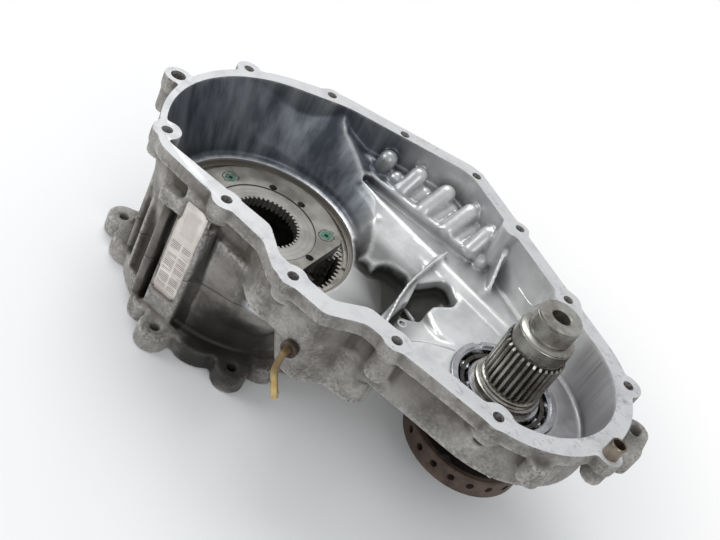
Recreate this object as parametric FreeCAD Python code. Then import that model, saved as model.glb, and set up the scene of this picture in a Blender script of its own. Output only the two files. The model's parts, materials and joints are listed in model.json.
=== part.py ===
import FreeCAD, Part
import math
import os

# Shafts and the frame: origin on the input axis at the adapter face, Z up to the open face, X toward
# the front output shaft.
centre_distance = 229.0
mate_z = 143.5
adapter_thick = 17.0
rim_thick = 12.0
output_axis = (centre_distance, 0.0)

# Plan shape of the open rim, corners with their rounding radius
inner_rim = [(-140.7, 24.8, 101), (-20, 109, 60), (92, 147, 30), (311, 27.2, 71.5), (282, -81, 71.5),
             (128, -82, 10), (108, -101, 12), (60, -100, 12), (38, -82, 12), (-66, -82, 15)]
outer_rim = [(-153.3, 20.2, 114), (-35, 119, 40), (94, 162, 28), (327.3, 34, 85.5), (292.8, -95, 85.5),
             (135, -98, 10), (112, -117, 12), (66, -116, 12), (45, -100, 12), (-62, -91, 25)]
rim_bosses = {"a": (-113, -12, 11), "b": (-96, 59, 10.5), "x": (-39, 108, 9.5), "e": (28, 131, 8.5),
              "f": (97, 150, 9.5), "g": (156.5, 124, 9), "h": (224, 82, 12), "i": (297, 39, 11),
              "m": (310, -41, 10), "j": (238, -85, 12), "k": (156.5, -91, 10.5),
              "l": (78, -108, 11), "d": (4, -91, 11), "c": (-69, -73, 11)}
inward_bosses = ("g", "h", "j", "k", "l", "d", "c")
rim_hole_r = 4.25
dowel_hole_r = 6.0
dowel_length = 24.0
dowel_stand = 12.0
dowel_wall = 1.5
dowel_groove_wide = 0.8
dowel_groove_deep = 0.5
dowel_chamfer = 0.8
boss_depths = {"a": 34, "b": 34, "x": 30, "e": 30, "f": 30, "g": 34, "h": 34, "i": 30, "m": 26,
               "j": 20, "k": 36, "l": 20, "d": 18, "c": 22}
dowel_bore_deep = 26.0

# Case walls and floors
wall = 6.0
barrel_r = 89.0
left_wall_r = 101.0
left_floor_r = 84.0
far_shift = (8.0, 15.0)
skirt_z = 108.0
cone_bottom_z = 58.0
shallow_under_z = 93.0
trench_z = 98.0
scoop_z = 84.0
ledge_z = 108.0
deck_z = 98.7
middle_under_z = 66.0
middle_floor_z = 73.0
lip_z = 72.0
lip_bore_r = 75.5
planet_floor_z = 36.0
planet_floor_thick = 6.0

# Adapter flange at the transmission end
adapter_r = 95.0
adapter_ear_r = 13.5
adapter_hole_ring = 106.0
adapter_hole_r = 4.25
adapter_ear_angles = (-159, -90, -54, 54, 90, 159)
adapter_lobes = ((-145, 92, 16), (-105, 92, 13), (-72, 82, 24), (-38, 90, 16), (-18, 84, 17),
                 (145, 92, 16), (105, 92, 13), (72, 82, 24), (38, 90, 16), (18, 84, 17), (180, 82, 20))
pilot_r = 82.0
pilot_land = 4.0
pilot_depth = 24.0
rib_count = 5
rib_start_x = 28.5
rib_step = 26.6
rib_r = 8.2
rib_backs = (118.0, 126.0, 131.5, 130.5, 120.0)
input_boss_r = 58.0
input_boss_z = 14.0
retainer_thick = 4.0

# Output end
output_boss_r = 49.0
output_neck_r = 40.0
output_neck_z = 75.0
output_boss_z = 60.0
seal_r = 35.0
seal_thick = 9.0
seal_lip_r = 24.85

# Deep groove bearings, the same size on both shafts
bearing_bore_r = 22.5
bearing_outer_r = 42.5
bearing_wide = 19.0
ball_r = 6.0
ball_count = 10
ball_gap = 0.05
race_wall_outer = 4.6
race_wall_inner = 7.2
output_bearing_z = 79.7
input_bearing_z = 14.0
ring_thick = 1.7

# Planetary set, straight teeth
gear_module = 1.7
ring_teeth = 82
sun_teeth = 44
planet_teeth = 19
tooth_share = 0.44
addendum = 0.9
dedendum = 1.2
ring_z = 43.0
ring_wide = 23.0
planet_wide = 20.0
planet_z = 45.5
planet_start = 42.8
planet_count = 3
pin_r = 6.5
pin_gap = 0.05
washer_thick = 0.9
carrier_r = 66.0
carrier_top_z = 77.0
front_plate_thick = 9.2
back_plate_z = 39.0
back_plate_thick = 5.5
carrier_cut_x = 52.5
carrier_spline_r = 27.7
carrier_spline_teeth = 44
lube_hole_ring = 47.5
lube_hole_r = 3.5

# Output shaft, heights of its steps
nose_r = 17.0
nose_top_z = 179.8
band_r = 21.9
band_z = 149.4
band_top_z = 162.0
spline_tip_r = 24.0
spline_root_r = 22.0
spline_teeth = 30
spline_z = 110.0
collar_r = 24.4
shoulder_r = 27.0
shoulder_z = 105.0
centre_hole_r = 7.5
hub_seat_r = 17.0
thread_r = 12.0
thread_end_z = 22.0

# Output companion flange, drum shaped
drum_r = 51.3
drum_z = 31.3
drum_top_z = 49.8
drum_wall = 5.0
drum_plate_thick = 6.0
drum_hole_r = 3.0
drum_hole_count = 20
drum_hole_turn = 12.0
drum_hole_z = 42.3
vent_x = 101.0
label_pad_stand = 8.0
label_low_z = 37.0
label_high_z = 125.0
label_thick = 0.6
vent_z = 93.0
swell_x = 9.0
swell_low_z = 34.0
ridge_z = 111.0
hat_top_z = 122.0
hat_thick = 12.0
hub_r = 24.8
hub_top_z = 79.7
screw_r = 3.0
nut_flats_r = 18.0
nut_high = 11.0


def v(x, y, z=0.0):
    return FreeCAD.Vector(x, y, z)


def spin(x, y, degrees):
    a = math.radians(degrees)
    return x * math.cos(a) - y * math.sin(a), x * math.sin(a) + y * math.cos(a)


def on_ring(radius, degrees):
    return spin(radius, 0.0, degrees)


def rod(radius, low, high, at=(0.0, 0.0)):
    return Part.makeCylinder(radius, high - low, v(at[0], at[1], low))


def tube(outer, inner, low, high, at=(0.0, 0.0)):
    return rod(outer, low, high, at).cut(rod(inner, low - 1, high + 1, at))


def block(x0, y0, z0, x1, y1, z1):
    return Part.makeBox(x1 - x0, y1 - y0, z1 - z0, v(x0, y0, z0))


def prism(points, low, high):
    wire = Part.makePolygon([v(x, y, low) for x, y in points + points[:1]])
    return Part.Face(wire).extrude(v(0, 0, high - low))


def turned(profile, at=(0.0, 0.0)):
    # a closed outline of radius and height pairs, turned round the axis at a place
    wire = Part.makePolygon([v(at[0] + r, at[1], z) for r, z in profile + profile[:1]])
    return Part.Face(wire).revolve(v(at[0], at[1], 0), v(0, 0, 1), 360)


def rounded_face(corners, z):
    # a flat face from corner points, each rounded with its own radius
    edges = []
    last = None
    first = None
    count = len(corners)
    for n in range(count):
        x, y, r = corners[n]
        px, py = corners[n - 1][:2]
        nx, ny = corners[(n + 1) % count][:2]
        before = v(px - x, py - y).normalize()
        after = v(nx - x, ny - y).normalize()
        half = before.getAngle(after) / 2
        reach = r / math.tan(half)
        start = v(x, y) + before * reach
        end = v(x, y) + after * reach
        middle_way = (before + after).normalize()
        middle = v(x, y) + middle_way * (r / math.sin(half) - r)
        up = v(0, 0, z)
        if last:
            edges.append(Part.LineSegment(last + up, start + up).toShape())
        else:
            first = start
        edges.append(Part.Arc(start + up, middle + up, end + up).toShape())
        last = end
    edges.append(Part.LineSegment(last + up, first + up).toShape())
    return Part.Face(Part.Wire(edges))


def grown(corners, by):
    # the same outline moved outward, its corners listed clockwise
    moved = []
    count = len(corners)
    for n in range(count):
        x, y, r = corners[n]
        px, py = corners[n - 1][:2]
        nx, ny = corners[(n + 1) % count][:2]
        before = v(px - x, py - y).normalize()
        after = v(nx - x, ny - y).normalize()
        half = before.getAngle(after) / 2
        outward = (before + after).normalize() * (by / math.sin(half))
        convex = before.cross(after).z > 0
        if convex:
            moved.append((x - outward.x, y - outward.y, r + by))
        else:
            moved.append((x + outward.x, y + outward.y, r - by))
    return moved


def rounded_prism(corners, low, high, grow=0.0):
    face = rounded_face(grown(corners, grow) if grow else corners, low)
    return face.extrude(v(0, 0, high - low))


def lofted(low_corners, low, high_corners, high):
    # straight walls from one rounded outline to another, both with the same count of corners
    low_wire = rounded_face(low_corners, low).OuterWire
    high_wire = rounded_face(high_corners, high).OuterWire
    return Part.makeLoft([low_wire, high_wire], True, True)


def wall_prism(points, y0, y1):
    # points are x and z, the prism runs along y
    corners = [v(x, y0, z) for x, z in points]
    face = Part.Face(Part.makePolygon(corners + corners[:1]))
    return face.extrude(v(0, y1 - y0, 0))


def single(shape):
    # the one solid of a compound, so that later cuts get a plain solid
    solids = shape.Solids
    return solids[0] if len(solids) == 1 else shape


def fuse_all(shapes):
    return single(shapes[0].multiFuse(shapes[1:]).removeSplitter())


def capsule(start, end, radius):
    # a rod with ball ends between two places
    way = end.sub(start)
    bow = radius * math.sin(math.radians(45))
    long = way.Length
    edges = [Part.Arc(v(0, 0, -radius), v(bow, 0, -bow), v(radius, 0, 0)).toShape(),
             Part.LineSegment(v(radius, 0, 0), v(radius, 0, long)).toShape(),
             Part.Arc(v(radius, 0, long), v(bow, 0, long + bow), v(0, 0, long + radius)).toShape(),
             Part.LineSegment(v(0, 0, long + radius), v(0, 0, -radius)).toShape()]
    body = Part.Face(Part.Wire(edges)).revolve(v(0, 0, 0), v(0, 0, 1), 360)
    body.Placement = FreeCAD.Placement(start, FreeCAD.Rotation(v(0, 0, 1), way))
    return body


# Case casting

def rim_boss_rods(names, low, high, shrink=0.0):
    return [rod(rim_bosses[n][2] - shrink, low, high, rim_bosses[n][:2]) for n in names]


def adapter_flange():
    pieces = [rod(adapter_r, 0, adapter_thick)]
    for angle in adapter_ear_angles:
        pieces.append(rod(adapter_ear_r, 0, adapter_thick, on_ring(adapter_hole_ring, angle)))
        foot = prism([(80, -19), (104, -adapter_ear_r), (104, adapter_ear_r), (80, 19)], 0, adapter_thick)
        foot.rotate(v(0, 0), v(0, 0, 1), angle)
        pieces.append(foot)
    for angle, reach, radius in adapter_lobes:
        pieces.append(rod(radius, 0, adapter_thick, on_ring(reach, angle)))
    return pieces


def case_outside():
    rim_low = mate_z - rim_thick
    pieces = [rounded_prism(outer_rim, rim_low, mate_z)]
    pieces += rim_boss_rods(rim_bosses, rim_low, mate_z)
    for name in rim_bosses:
        x, y, r = rim_bosses[name]
        pieces.append(rod(r - 1.5, mate_z - boss_depths[name], rim_low + 1, (x, y)))
    # walls under the rim: shallow over the output shaft, deeper in the middle
    shallow = rounded_prism(inner_rim, shallow_under_z, rim_low + 1, wall)
    pieces.append(shallow.common(block(8, -130, 0, 330, 170, mate_z)))
    pieces.append(block(145, -45, shallow_under_z - 11, 184, 34, shallow_under_z + 2))
    skirt = rounded_prism(inner_rim, skirt_z - 6, rim_low + 1, wall - 1)
    pieces.append(skirt.common(block(-18, -130, 0, 330, 170, mate_z)))
    right_side = [(112, -106, 12), (128, -90, 10), (158, -86, 12), (150, 92, 20), (60, 112, 20)]
    low_middle = [(82, -86, 8), (95, -104, 12)] + right_side
    high_middle = [(60, -86, 8), (76, -104, 12)] + right_side
    pieces.append(lofted(low_middle, middle_under_z, high_middle, skirt_z))
    # the barrel's near side swells out into the middle, up to a ridge under the rim
    low_swell = [(swell_x, -60, 3), (swell_x, -86, 3), (40, -79, 20), (62, -62, 14), (68, -36, 8), (40, -36, 8)]
    high_swell = [(swell_x, -60, 3), (swell_x, -93, 3), (45, -96, 20), (90, -98, 14), (104, -60, 8), (40, -36, 8)]
    pieces.append(lofted(low_swell, swell_low_z, high_swell, ridge_z))
    # barrel round the planetary set, and the cone that joins it to the wide end
    upper = left_wall_r + wall - 4
    cone = turned([(0, cone_bottom_z), (barrel_r, cone_bottom_z), (upper, rim_low + 1), (0, rim_low + 1)])
    keep = rounded_prism(inner_rim, 0, mate_z, wall)
    low_ring = Part.Wire(Part.makeCircle(barrel_r - 3, v(0, 0, cone_bottom_z - 4)))
    high_ring = Part.Wire(Part.makeCircle(upper + 1, v(far_shift[0], far_shift[1], rim_low + 1)))
    far_cone = Part.makeLoft([low_ring, high_ring], True, True)
    pieces.append(cone.fuse(far_cone).common(keep))
    pieces.append(rod(barrel_r, 0, cone_bottom_z + 2))
    pieces += adapter_flange()
    pieces.append(rod(output_boss_r, output_neck_z, shallow_under_z + 1, output_axis))
    pieces.append(rod(output_neck_r, output_boss_z, output_neck_z + 1, output_axis))
    return fuse_all(pieces)


def case_pads():
    # label pad and fins on the near side, side lug, lump boss and ribs round the output boss
    face = barrel_r + label_pad_stand
    pad = prism([(-24, 15 - face), (-24, -face), (4, -face), (4, 15 - face)],
                adapter_thick - 1, mate_z - rim_thick)
    pad = pad.cut(prism([(-22, -face - 3), (-22, 1 - face), (1, 1 - face), (1, -face - 3)],
                        label_low_z - 1, label_high_z + 1))
    # a flat bar beside the label, under a five-sided pad
    bar = prism([(-38, 18 - face), (-37, -face), (-30, -face), (-30, 12 - face)], adapter_thick - 1, hat_top_z - 4)
    hat = prism([(-43, -face - 2), (-42, 10 - face), (-33, 27 - face), (-14, 27 - face), (-19, 14 - face),
                 (-22, -face - 2)], hat_top_z - hat_thick, hat_top_z)
    fins = []
    for angle in (-126, -138, -165, 165, 140, 112, 60, 30):
        rib = block(80, -2.5, adapter_thick - 1, 97, 2.5, mate_z - rim_thick)
        rib.rotate(v(0, 0), v(0, 0, 1), angle)
        fins.append(rib)
    gussets = []
    for angle in (0, 60, 120, 180, 240, 300):
        rib = block(36, -2.5, output_neck_z + 6, 66, 2.5, shallow_under_z + 1)
        rib.rotate(v(0, 0), v(0, 0, 1), angle)
        rib.translate(v(centre_distance, 0, 0))
        gussets.append(rib)
    low, high = mate_z - 39, mate_z - 17
    lug = rod(11, low, high, (321, 26)).fuse(rod(11, low, high, (322, 6)))
    lug = lug.fuse(block(296, 0, low, 332, 28, high))
    lump = rod(9, mate_z - 31, mate_z - rim_thick + 1, (277, -79))
    # a steep web over the left flange ear
    web = wall_prism([(-102, adapter_thick - 1), (-80, adapter_thick - 1), (-80, adapter_thick + 30)], -2.5, 2.5)
    web.rotate(v(0, 0), v(0, 0, 1), adapter_ear_angles[0] + 180)
    return [pad, bar, hat, web, lug, lump] + fins + gussets


def cavity():
    rim = rounded_prism(inner_rim, ledge_z, mate_z + 1)
    slanted = [(22, 100), (22, ledge_z), (-10, 124), (-30, 146), (340, 146), (340, 100)]
    wire = Part.makePolygon([v(x, -130, z) for x, z in slanted + slanted[:1]])
    rim = rim.common(Part.Face(wire).extrude(v(0, 300, 0)))
    # the wide end narrows smoothly from the rim down to the planetary set
    bottom = Part.Wire(Part.makeCircle(left_floor_r, v(0, 0, lip_z + 4)))
    rise = mate_z + 1 - lip_z - 4
    top = Part.Wire(Part.makeCircle(left_wall_r + 0.2, v(0, 0, lip_z + 4 + rise)))
    top_far = Part.Wire(Part.makeCircle(left_wall_r, v(far_shift[0], far_shift[1], lip_z + 4 + rise)))
    bottom_far = Part.Wire(Part.makeCircle(left_floor_r - 1.5, v(0, 0, lip_z + 4)))
    left = Part.makeLoft([bottom, top], True, True)
    left = left.fuse(Part.makeLoft([bottom_far, top_far], True, True))
    left = left.common(rounded_prism(inner_rim, 0, mate_z + 2))
    right = [(24, 104, 4), (132, 104, 6), (160, 130, 6), (330, 130, 6), (330, -110, 6),
             (24, -110, 4)]
    shallow = rounded_prism(right, trench_z, mate_z).common(rounded_prism(inner_rim, 0, mate_z))
    middle = [(30, -76, 8), (66, -92, 10), (104, -92, 10), (127, -72, 8), (122, 60, 12), (60, 88, 20)]
    deep = rounded_prism(middle, middle_floor_z, trench_z + 1)
    deep = deep.common(rounded_prism(inner_rim, 0, mate_z))
    # the pocket beyond the web with its arched far end, and the low shelf before the deck
    scoop = rounded_prism([(134, 0, 3), (125, 37, 4), (138, 66, 8), (157, 53, 3), (158, 42, 3),
                           (147, 26, 3), (147, 8, 3)], scoop_z, trench_z + 8)
    shelf = prism([(132, -72), (130, 10), (147, 15), (155, 8), (167, 2), (184, 8), (186, -16),
                   (174, -40), (160, -72)], scoop_z, trench_z + 2)
    side = [(120, scoop_z), (138, scoop_z + 5), (188, trench_z + 1), (188, trench_z + 4), (120, trench_z + 4)]
    wire = Part.makePolygon([v(x, -130, z) for x, z in side + side[:1]])
    shelf = shelf.common(Part.Face(wire).extrude(v(0, 300, 0)))
    planets = rod(lip_bore_r, planet_floor_z, lip_z + 8)
    groove = rod(lip_bore_r + 3.6, ring_z + ring_wide + 0.2, ring_z + ring_wide + 0.4 + ring_thick)
    lip = Part.makeCone(lip_bore_r, left_floor_r - 2, 3, v(0, 0, lip_z + 1.2))
    mouth = rim
    for piece in rim_boss_rods(inward_bosses, 0, mate_z + 2):
        mouth = mouth.cut(piece)
        left = left.cut(piece)
        shallow = shallow.cut(piece)
    return fuse_all([mouth, left, shallow, deep, scoop, shelf, planets, groove, lip])


def inside_casting():
    # the long step with its bank down to the planetary set, the web between the two halves,
    # the ribs on the far wall, the fin and the post
    ridge_start = v(15, 97.7, 0)
    ridge_end = v(205, 63, 0)
    along = ridge_end.sub(ridge_start)
    side = v(-along.y, along.x, 0).normalize()
    section = [(0, 70), (0, 104), (-5, 104), (-22, 92), (-46, 83), (-46, 70)]
    points = [ridge_start + side * s + v(0, 0, z) for s, z in section]
    bank = Part.Face(Part.makePolygon(points + points[:1])).extrude(along)
    funnel = turned([(0, lip_z - 4), (left_floor_r - 2, lip_z - 4), (left_floor_r - 2, lip_z + 2),
                     (left_wall_r - 3, 104.5), (0, 104.5)])
    bank = bank.cut(funnel).cut(rod(output_boss_r, 0, mate_z, output_axis))
    # the bank ends over the oil well in an arch, and over the pocket beyond the web in another
    well = rounded_prism([(70, -60, 6), (78, 6, 6), (90, 48, 12), (119, 50, 12), (126, -6, 3),
                          (134, -60, 6)], middle_floor_z, 110)
    pocket = rounded_prism([(134, -40, 3), (125, 37, 4), (138, 66, 8), (157, 53, 3), (230, 20, 3),
                            (230, -40, 3)], middle_floor_z, 110)
    bank = bank.cut(well).cut(pocket)
    pieces = [bank]
    web = prism([(121.8, 88), (120.5, 62), (120.4, 32), (121.4, 18), (124.9, -4), (132, -34), (137, -62),
                 (138, -84), (141, -84), (140, -62), (134.8, -34), (127.5, -4), (124, 18), (123, 32),
                 (123, 62), (124.3, 88)], middle_floor_z - 1, 106)
    pieces.append(web)
    for n in range(rib_count):
        x = rib_start_x + rib_step * n
        near, far = 117 - 2 * n, rib_backs[n]
        pieces.append(capsule(v(x, near, 107), v(x + 1 + 0.2 * (far - near), far, 122), rib_r))
        pieces.append(capsule(v(x + 12, near + 1, 103), v(x + 16, far - 1, 112), rib_r - 1.5))
    backing = [(10, 112), (30, 119), (60, 127), (90, 132), (118, 131), (146, 120), (158, 112), (158, 130),
               (92, 152), (10, 128)]
    pieces.append(prism(backing, trench_z - 1, 115))
    # the column under the far middle bolt with its sloping web
    slope = Part.Face(Part.makePolygon([v(154, 114, 96), v(154, 114, 139), v(168, 88, 99), v(168, 88, 96),
                                        v(154, 114, 96)]))
    pieces.append(slope.extrude(v(3, 1.5, 0)))
    keep = rounded_prism(inner_rim, 0, mate_z - 8, 2)
    pieces = [p.common(keep) for p in pieces]
    column = rod(10, 112, mate_z, (152.5, 117)).fuse(Part.makeSphere(10, v(152.5, 117, 112)))
    pieces.append(column.common(rounded_prism(inner_rim, 0, mate_z, 3)))
    return pieces


def case_cuts():
    cuts = []
    for name in rim_bosses:
        radius = dowel_hole_r if name in ("a", "m") else rim_hole_r
        low = mate_z - boss_depths[name] - 1
        if name in ("a", "m"):
            low = mate_z - dowel_bore_deep - 1
        elif name in inward_bosses:
            low = mate_z - 30
        cuts.append(rod(radius, low, mate_z + 1, rim_bosses[name][:2]))
    for angle in adapter_ear_angles:
        cuts.append(rod(adapter_hole_r, -1, adapter_thick + 1, on_ring(adapter_hole_ring, angle)))
    # output end: bearing seat, snap ring groove, seal seat, way for the hub
    top = output_bearing_z + bearing_wide
    cuts.append(rod(bearing_outer_r, output_bearing_z, top + 5, output_axis))
    cuts.append(rod(bearing_outer_r + 2.5, top, top + 8, output_axis))
    cuts.append(rod(hub_r + 4, output_boss_z - 1, mate_z, output_axis))
    cuts.append(rod(seal_r, output_boss_z - 1, output_boss_z + seal_thick, output_axis))
    # input end: pilot recess round the bearing boss, bearing seat
    cuts.append(rod(pilot_r, -1, pilot_land))
    recess = tube(pilot_r - 2, input_boss_r, pilot_land - 1, pilot_depth)
    cuts.append(recess.fuse(rod(pilot_r - 2, pilot_land - 1, input_boss_z)))
    cuts.append(rod(bearing_outer_r, input_boss_z - 1, input_bearing_z + bearing_wide))
    cuts.append(rod(bearing_outer_r - 4, 0, planet_floor_z + 1))
    for x, y in retainer_places():
        cuts.append(rod(screw_r, input_boss_z - 1, input_boss_z + 14, (x, y)))
    # vent hole in the near wall, slotted hole in the side lug, notch in the rim
    cuts.append(Part.makeCylinder(4.0, 60, v(vent_x, -130, vent_z), v(0, 1, 0)))
    slot = rod(4.2, mate_z - 60, mate_z - 13, (321, 24)).fuse(rod(4.2, mate_z - 60, mate_z - 13, (321, 28)))
    cuts.append(slot)
    cuts.append(rod(2.6, mate_z - 6, mate_z + 1, (20, 119)))
    return cuts


def front_case():
    solid = single(case_outside().multiFuse(case_pads()))
    solid = single(solid.cut(cavity()))
    solid = single(solid.multiFuse(inside_casting()))
    for piece in case_cuts():
        solid = single(solid.cut(piece))
    return single(solid.removeSplitter())


# Gears

def toothed_face(teeth, inside_r, outside_r, root_share, tip_share, centre, phase):
    # a closed outline of straight sided teeth: tips at one radius, roots at the other
    points = []
    pitch = 360.0 / teeth
    for n in range(teeth):
        middle = phase + n * pitch
        for radius, share in ((inside_r, -root_share), (outside_r, -tip_share),
                              (outside_r, tip_share), (inside_r, root_share)):
            x, y = on_ring(radius, middle + share * pitch)
            points.append(v(centre[0] + x, centre[1] + y))
    return Part.Face(Part.makePolygon(points + points[:1]))


def outer_gear(teeth, low, high, centre, phase):
    pitch_r = gear_module * teeth / 2
    tip = pitch_r + gear_module * addendum
    root = pitch_r - gear_module * dedendum
    lean = gear_module * math.tan(math.radians(22)) / (math.pi * gear_module)
    half = tooth_share / 2
    face = toothed_face(teeth, root, tip, half + lean * dedendum, half - lean * addendum, centre, phase)
    face.translate(v(0, 0, low))
    return face.extrude(v(0, 0, high - low))


def ring_gear_opening(low, high, phase):
    # the space inside the ring gear: its outward points are the gaps between the teeth
    pitch_r = gear_module * ring_teeth / 2
    tip = pitch_r - gear_module * addendum
    root = pitch_r + gear_module * dedendum
    lean = math.tan(math.radians(22)) / math.pi
    half = (1 - tooth_share) / 2
    face = toothed_face(ring_teeth, tip, root, half + lean * addendum, half - lean * dedendum,
                        (0, 0), phase)
    face.translate(v(0, 0, low))
    return face.extrude(v(0, 0, high - low))


def planet_places():
    reach = gear_module * (sun_teeth + planet_teeth) / 2
    step = 360.0 / planet_count
    return [(on_ring(reach, planet_start + n * step), planet_start + n * step)
            for n in range(planet_count)]


def sun_share(angle):
    return angle * sun_teeth / 360.0


def planet_phase(angle):
    return angle + 180.0 + (sun_share(angle) + 0.5) * 360.0 / planet_teeth


def ring_phase():
    angle = planet_start
    return angle + (planet_teeth / 2 + sun_share(angle) + 0.5) * 360.0 / ring_teeth


def annulus_gear():
    high = ring_z + ring_wide
    body = rod(lip_bore_r - 0.02, ring_z, high)
    return body.cut(ring_gear_opening(ring_z - 1, high + 1, ring_phase()))


def snap_ring(radius, width, low, centre, gap_angle):
    ring = tube(radius, radius - width, low, low + ring_thick, centre)
    gap = block(radius - width - 5, -4, low - 1, radius + 5, 4, low + 5)
    gap.rotate(v(0, 0), v(0, 0, 1), gap_angle)
    gap.translate(v(centre[0], centre[1], 0))
    return ring.cut(gap)


def planet_carrier():
    low = back_plate_z
    high = carrier_top_z - front_plate_thick
    plate = tube(carrier_r, 33.0, low, low + back_plate_thick)
    pieces = [plate]
    for place, angle in planet_places():
        post = tube(62.0, 43.0, low, high)
        wedge = prism([(0, 0), on_ring(90, angle + 49), on_ring(90, angle + 71)], low, high)
        pieces.append(post.common(wedge))
    solid = fuse_all(pieces)
    for place, angle in planet_places():
        solid = solid.cut(rod(pin_r, low - 1, high + 9, place))
    return solid


def carrier_front_plate():
    low = carrier_top_z - front_plate_thick
    plate = rod(carrier_r, low, carrier_top_z)
    plate = plate.cut(block(carrier_cut_x, -80, low - 1, 80, 80, carrier_top_z + 1))
    plate = plate.cut(rod(43.6, carrier_top_z - 0.8, carrier_top_z + 1))
    opening = toothed_face(carrier_spline_teeth, carrier_spline_r, carrier_spline_r + 2.2,
                           0.30, 0.20, (0, 0), 0)
    opening.translate(v(0, 0, low - 1))
    plate = plate.cut(opening.extrude(v(0, 0, front_plate_thick + 2)))
    for place, angle in planet_places():
        plate = plate.cut(rod(pin_r, low - 1, carrier_top_z + 1, place))
        for turn in (-43, 43):
            plate = plate.cut(rod(lube_hole_r, low - 1, carrier_top_z + 1,
                                  on_ring(lube_hole_ring, angle + turn)))
    return plate


def planet_gear(n):
    place, angle = planet_places()[n]
    gear = outer_gear(planet_teeth, planet_z, planet_z + planet_wide, place, planet_phase(angle))
    return gear.cut(rod(pin_r + pin_gap, planet_z - 1, planet_z + planet_wide + 1, place))


def planet_pins():
    pins = []
    for place, angle in planet_places():
        pin = rod(pin_r, back_plate_z, carrier_top_z - 0.3, place)
        pins.append(pin.cut(rod(2.0, back_plate_z + 10, carrier_top_z + 1, place)))
    return Part.makeCompound(pins)


def thrust_washers():
    discs = []
    for place, angle in planet_places():
        for low in (planet_z - 0.05 - washer_thick, planet_z + planet_wide + 0.05):
            discs.append(tube(11.0, pin_r + pin_gap, low, low + washer_thick, place))
    return Part.makeCompound(discs)


def input_gear():
    # sun gear with a hollow hub that runs down through the input bearing
    top = planet_z + planet_wide + 1
    gear = outer_gear(sun_teeth, planet_z - 1, top, (0, 0), 0)
    hub = turned([(0, 8), (bearing_bore_r - 1, 8), (bearing_bore_r, 9),
                  (bearing_bore_r, input_bearing_z + bearing_wide),
                  (28, input_bearing_z + bearing_wide), (28, planet_z), (0, planet_z)])
    solid = gear.fuse(hub)
    opening = toothed_face(27, 14.0, 15.6, 0.30, 0.20, (0, 0), 0)
    solid = solid.cut(opening.extrude(v(0, 0, 40))).cut(rod(24, 36, 50)).cut(rod(30, 45.5, top + 1))
    return single(solid.removeSplitter())


# Bearings

def groove_ring(low, centre):
    middle = low + bearing_wide / 2
    pitch = ball_pitch()
    return Part.makeTorus(pitch, ball_r + ball_gap, v(centre[0], centre[1], middle), v(0, 0, 1))


def ball_pitch():
    return (bearing_bore_r + race_wall_inner + bearing_outer_r - race_wall_outer) / 2


def outer_race(low, centre):
    ring = tube(bearing_outer_r, bearing_outer_r - race_wall_outer, low, low + bearing_wide, centre)
    return ring.cut(groove_ring(low, centre))


def inner_race(low, centre):
    ring = tube(bearing_bore_r + race_wall_inner, bearing_bore_r, low, low + bearing_wide, centre)
    return ring.cut(groove_ring(low, centre))


def ball_places(low, centre):
    middle = low + bearing_wide / 2
    places = []
    for n in range(ball_count):
        x, y = on_ring(ball_pitch(), n * 360.0 / ball_count)
        places.append(v(centre[0] + x, centre[1] + y, middle))
    return places


def balls(low, centre):
    return Part.makeCompound([Part.makeSphere(ball_r, place) for place in ball_places(low, centre)])


def cage(low, centre):
    middle = low + bearing_wide / 2
    half = ball_r + 1.2
    ring = tube(ball_pitch() + 1.6, ball_pitch() - 1.6, middle - half, middle + half, centre)
    for n in range(ball_count):
        way = v(*on_ring(1.0, n * 360.0 / ball_count))
        start = v(centre[0], centre[1], middle) + way * (ball_pitch() - 8)
        ring = ring.cut(Part.makeCylinder(ball_r + ball_gap, 16, start, way))
    return ring


# Output end

def front_output_shaft():
    bearing_top = output_bearing_z + bearing_wide
    profile = [(0, thread_end_z), (thread_r - 1, thread_end_z), (thread_r, thread_end_z + 1),
               (thread_r, drum_z + 4), (hub_seat_r, drum_z + 4), (hub_seat_r, hub_top_z),
               (bearing_bore_r, hub_top_z), (bearing_bore_r, bearing_top), (shoulder_r, bearing_top),
               (shoulder_r, shoulder_z), (collar_r, shoulder_z + 1), (collar_r, spline_z - 1),
               (spline_root_r, spline_z), (spline_root_r, band_z), (band_r, band_z),
               (band_r, band_top_z - 1), (nose_r + 0.8, band_top_z), (nose_r - 0.8, band_top_z + 0.6),
               (nose_r - 0.8, band_top_z + 2.2), (nose_r, band_top_z + 3),
               (nose_r, nose_top_z - 1.2), (nose_r - 1.2, nose_top_z), (0, nose_top_z)]
    solid = turned(profile, output_axis)
    teeth = toothed_face(spline_teeth, spline_root_r - 0.3, spline_tip_r, 0.34, 0.20,
                         output_axis, 0)
    teeth.translate(v(0, 0, spline_z))
    solid = solid.fuse(teeth.extrude(v(0, 0, band_z - 1.5 - spline_z)))
    hole = rod(centre_hole_r, nose_top_z - 26, nose_top_z + 1, output_axis)
    x = centre_distance
    hole = hole.common(block(x - 7.8, -6.6, 0, x + 7.8, 6.6, 200))
    return solid.cut(hole).removeSplitter()


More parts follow.
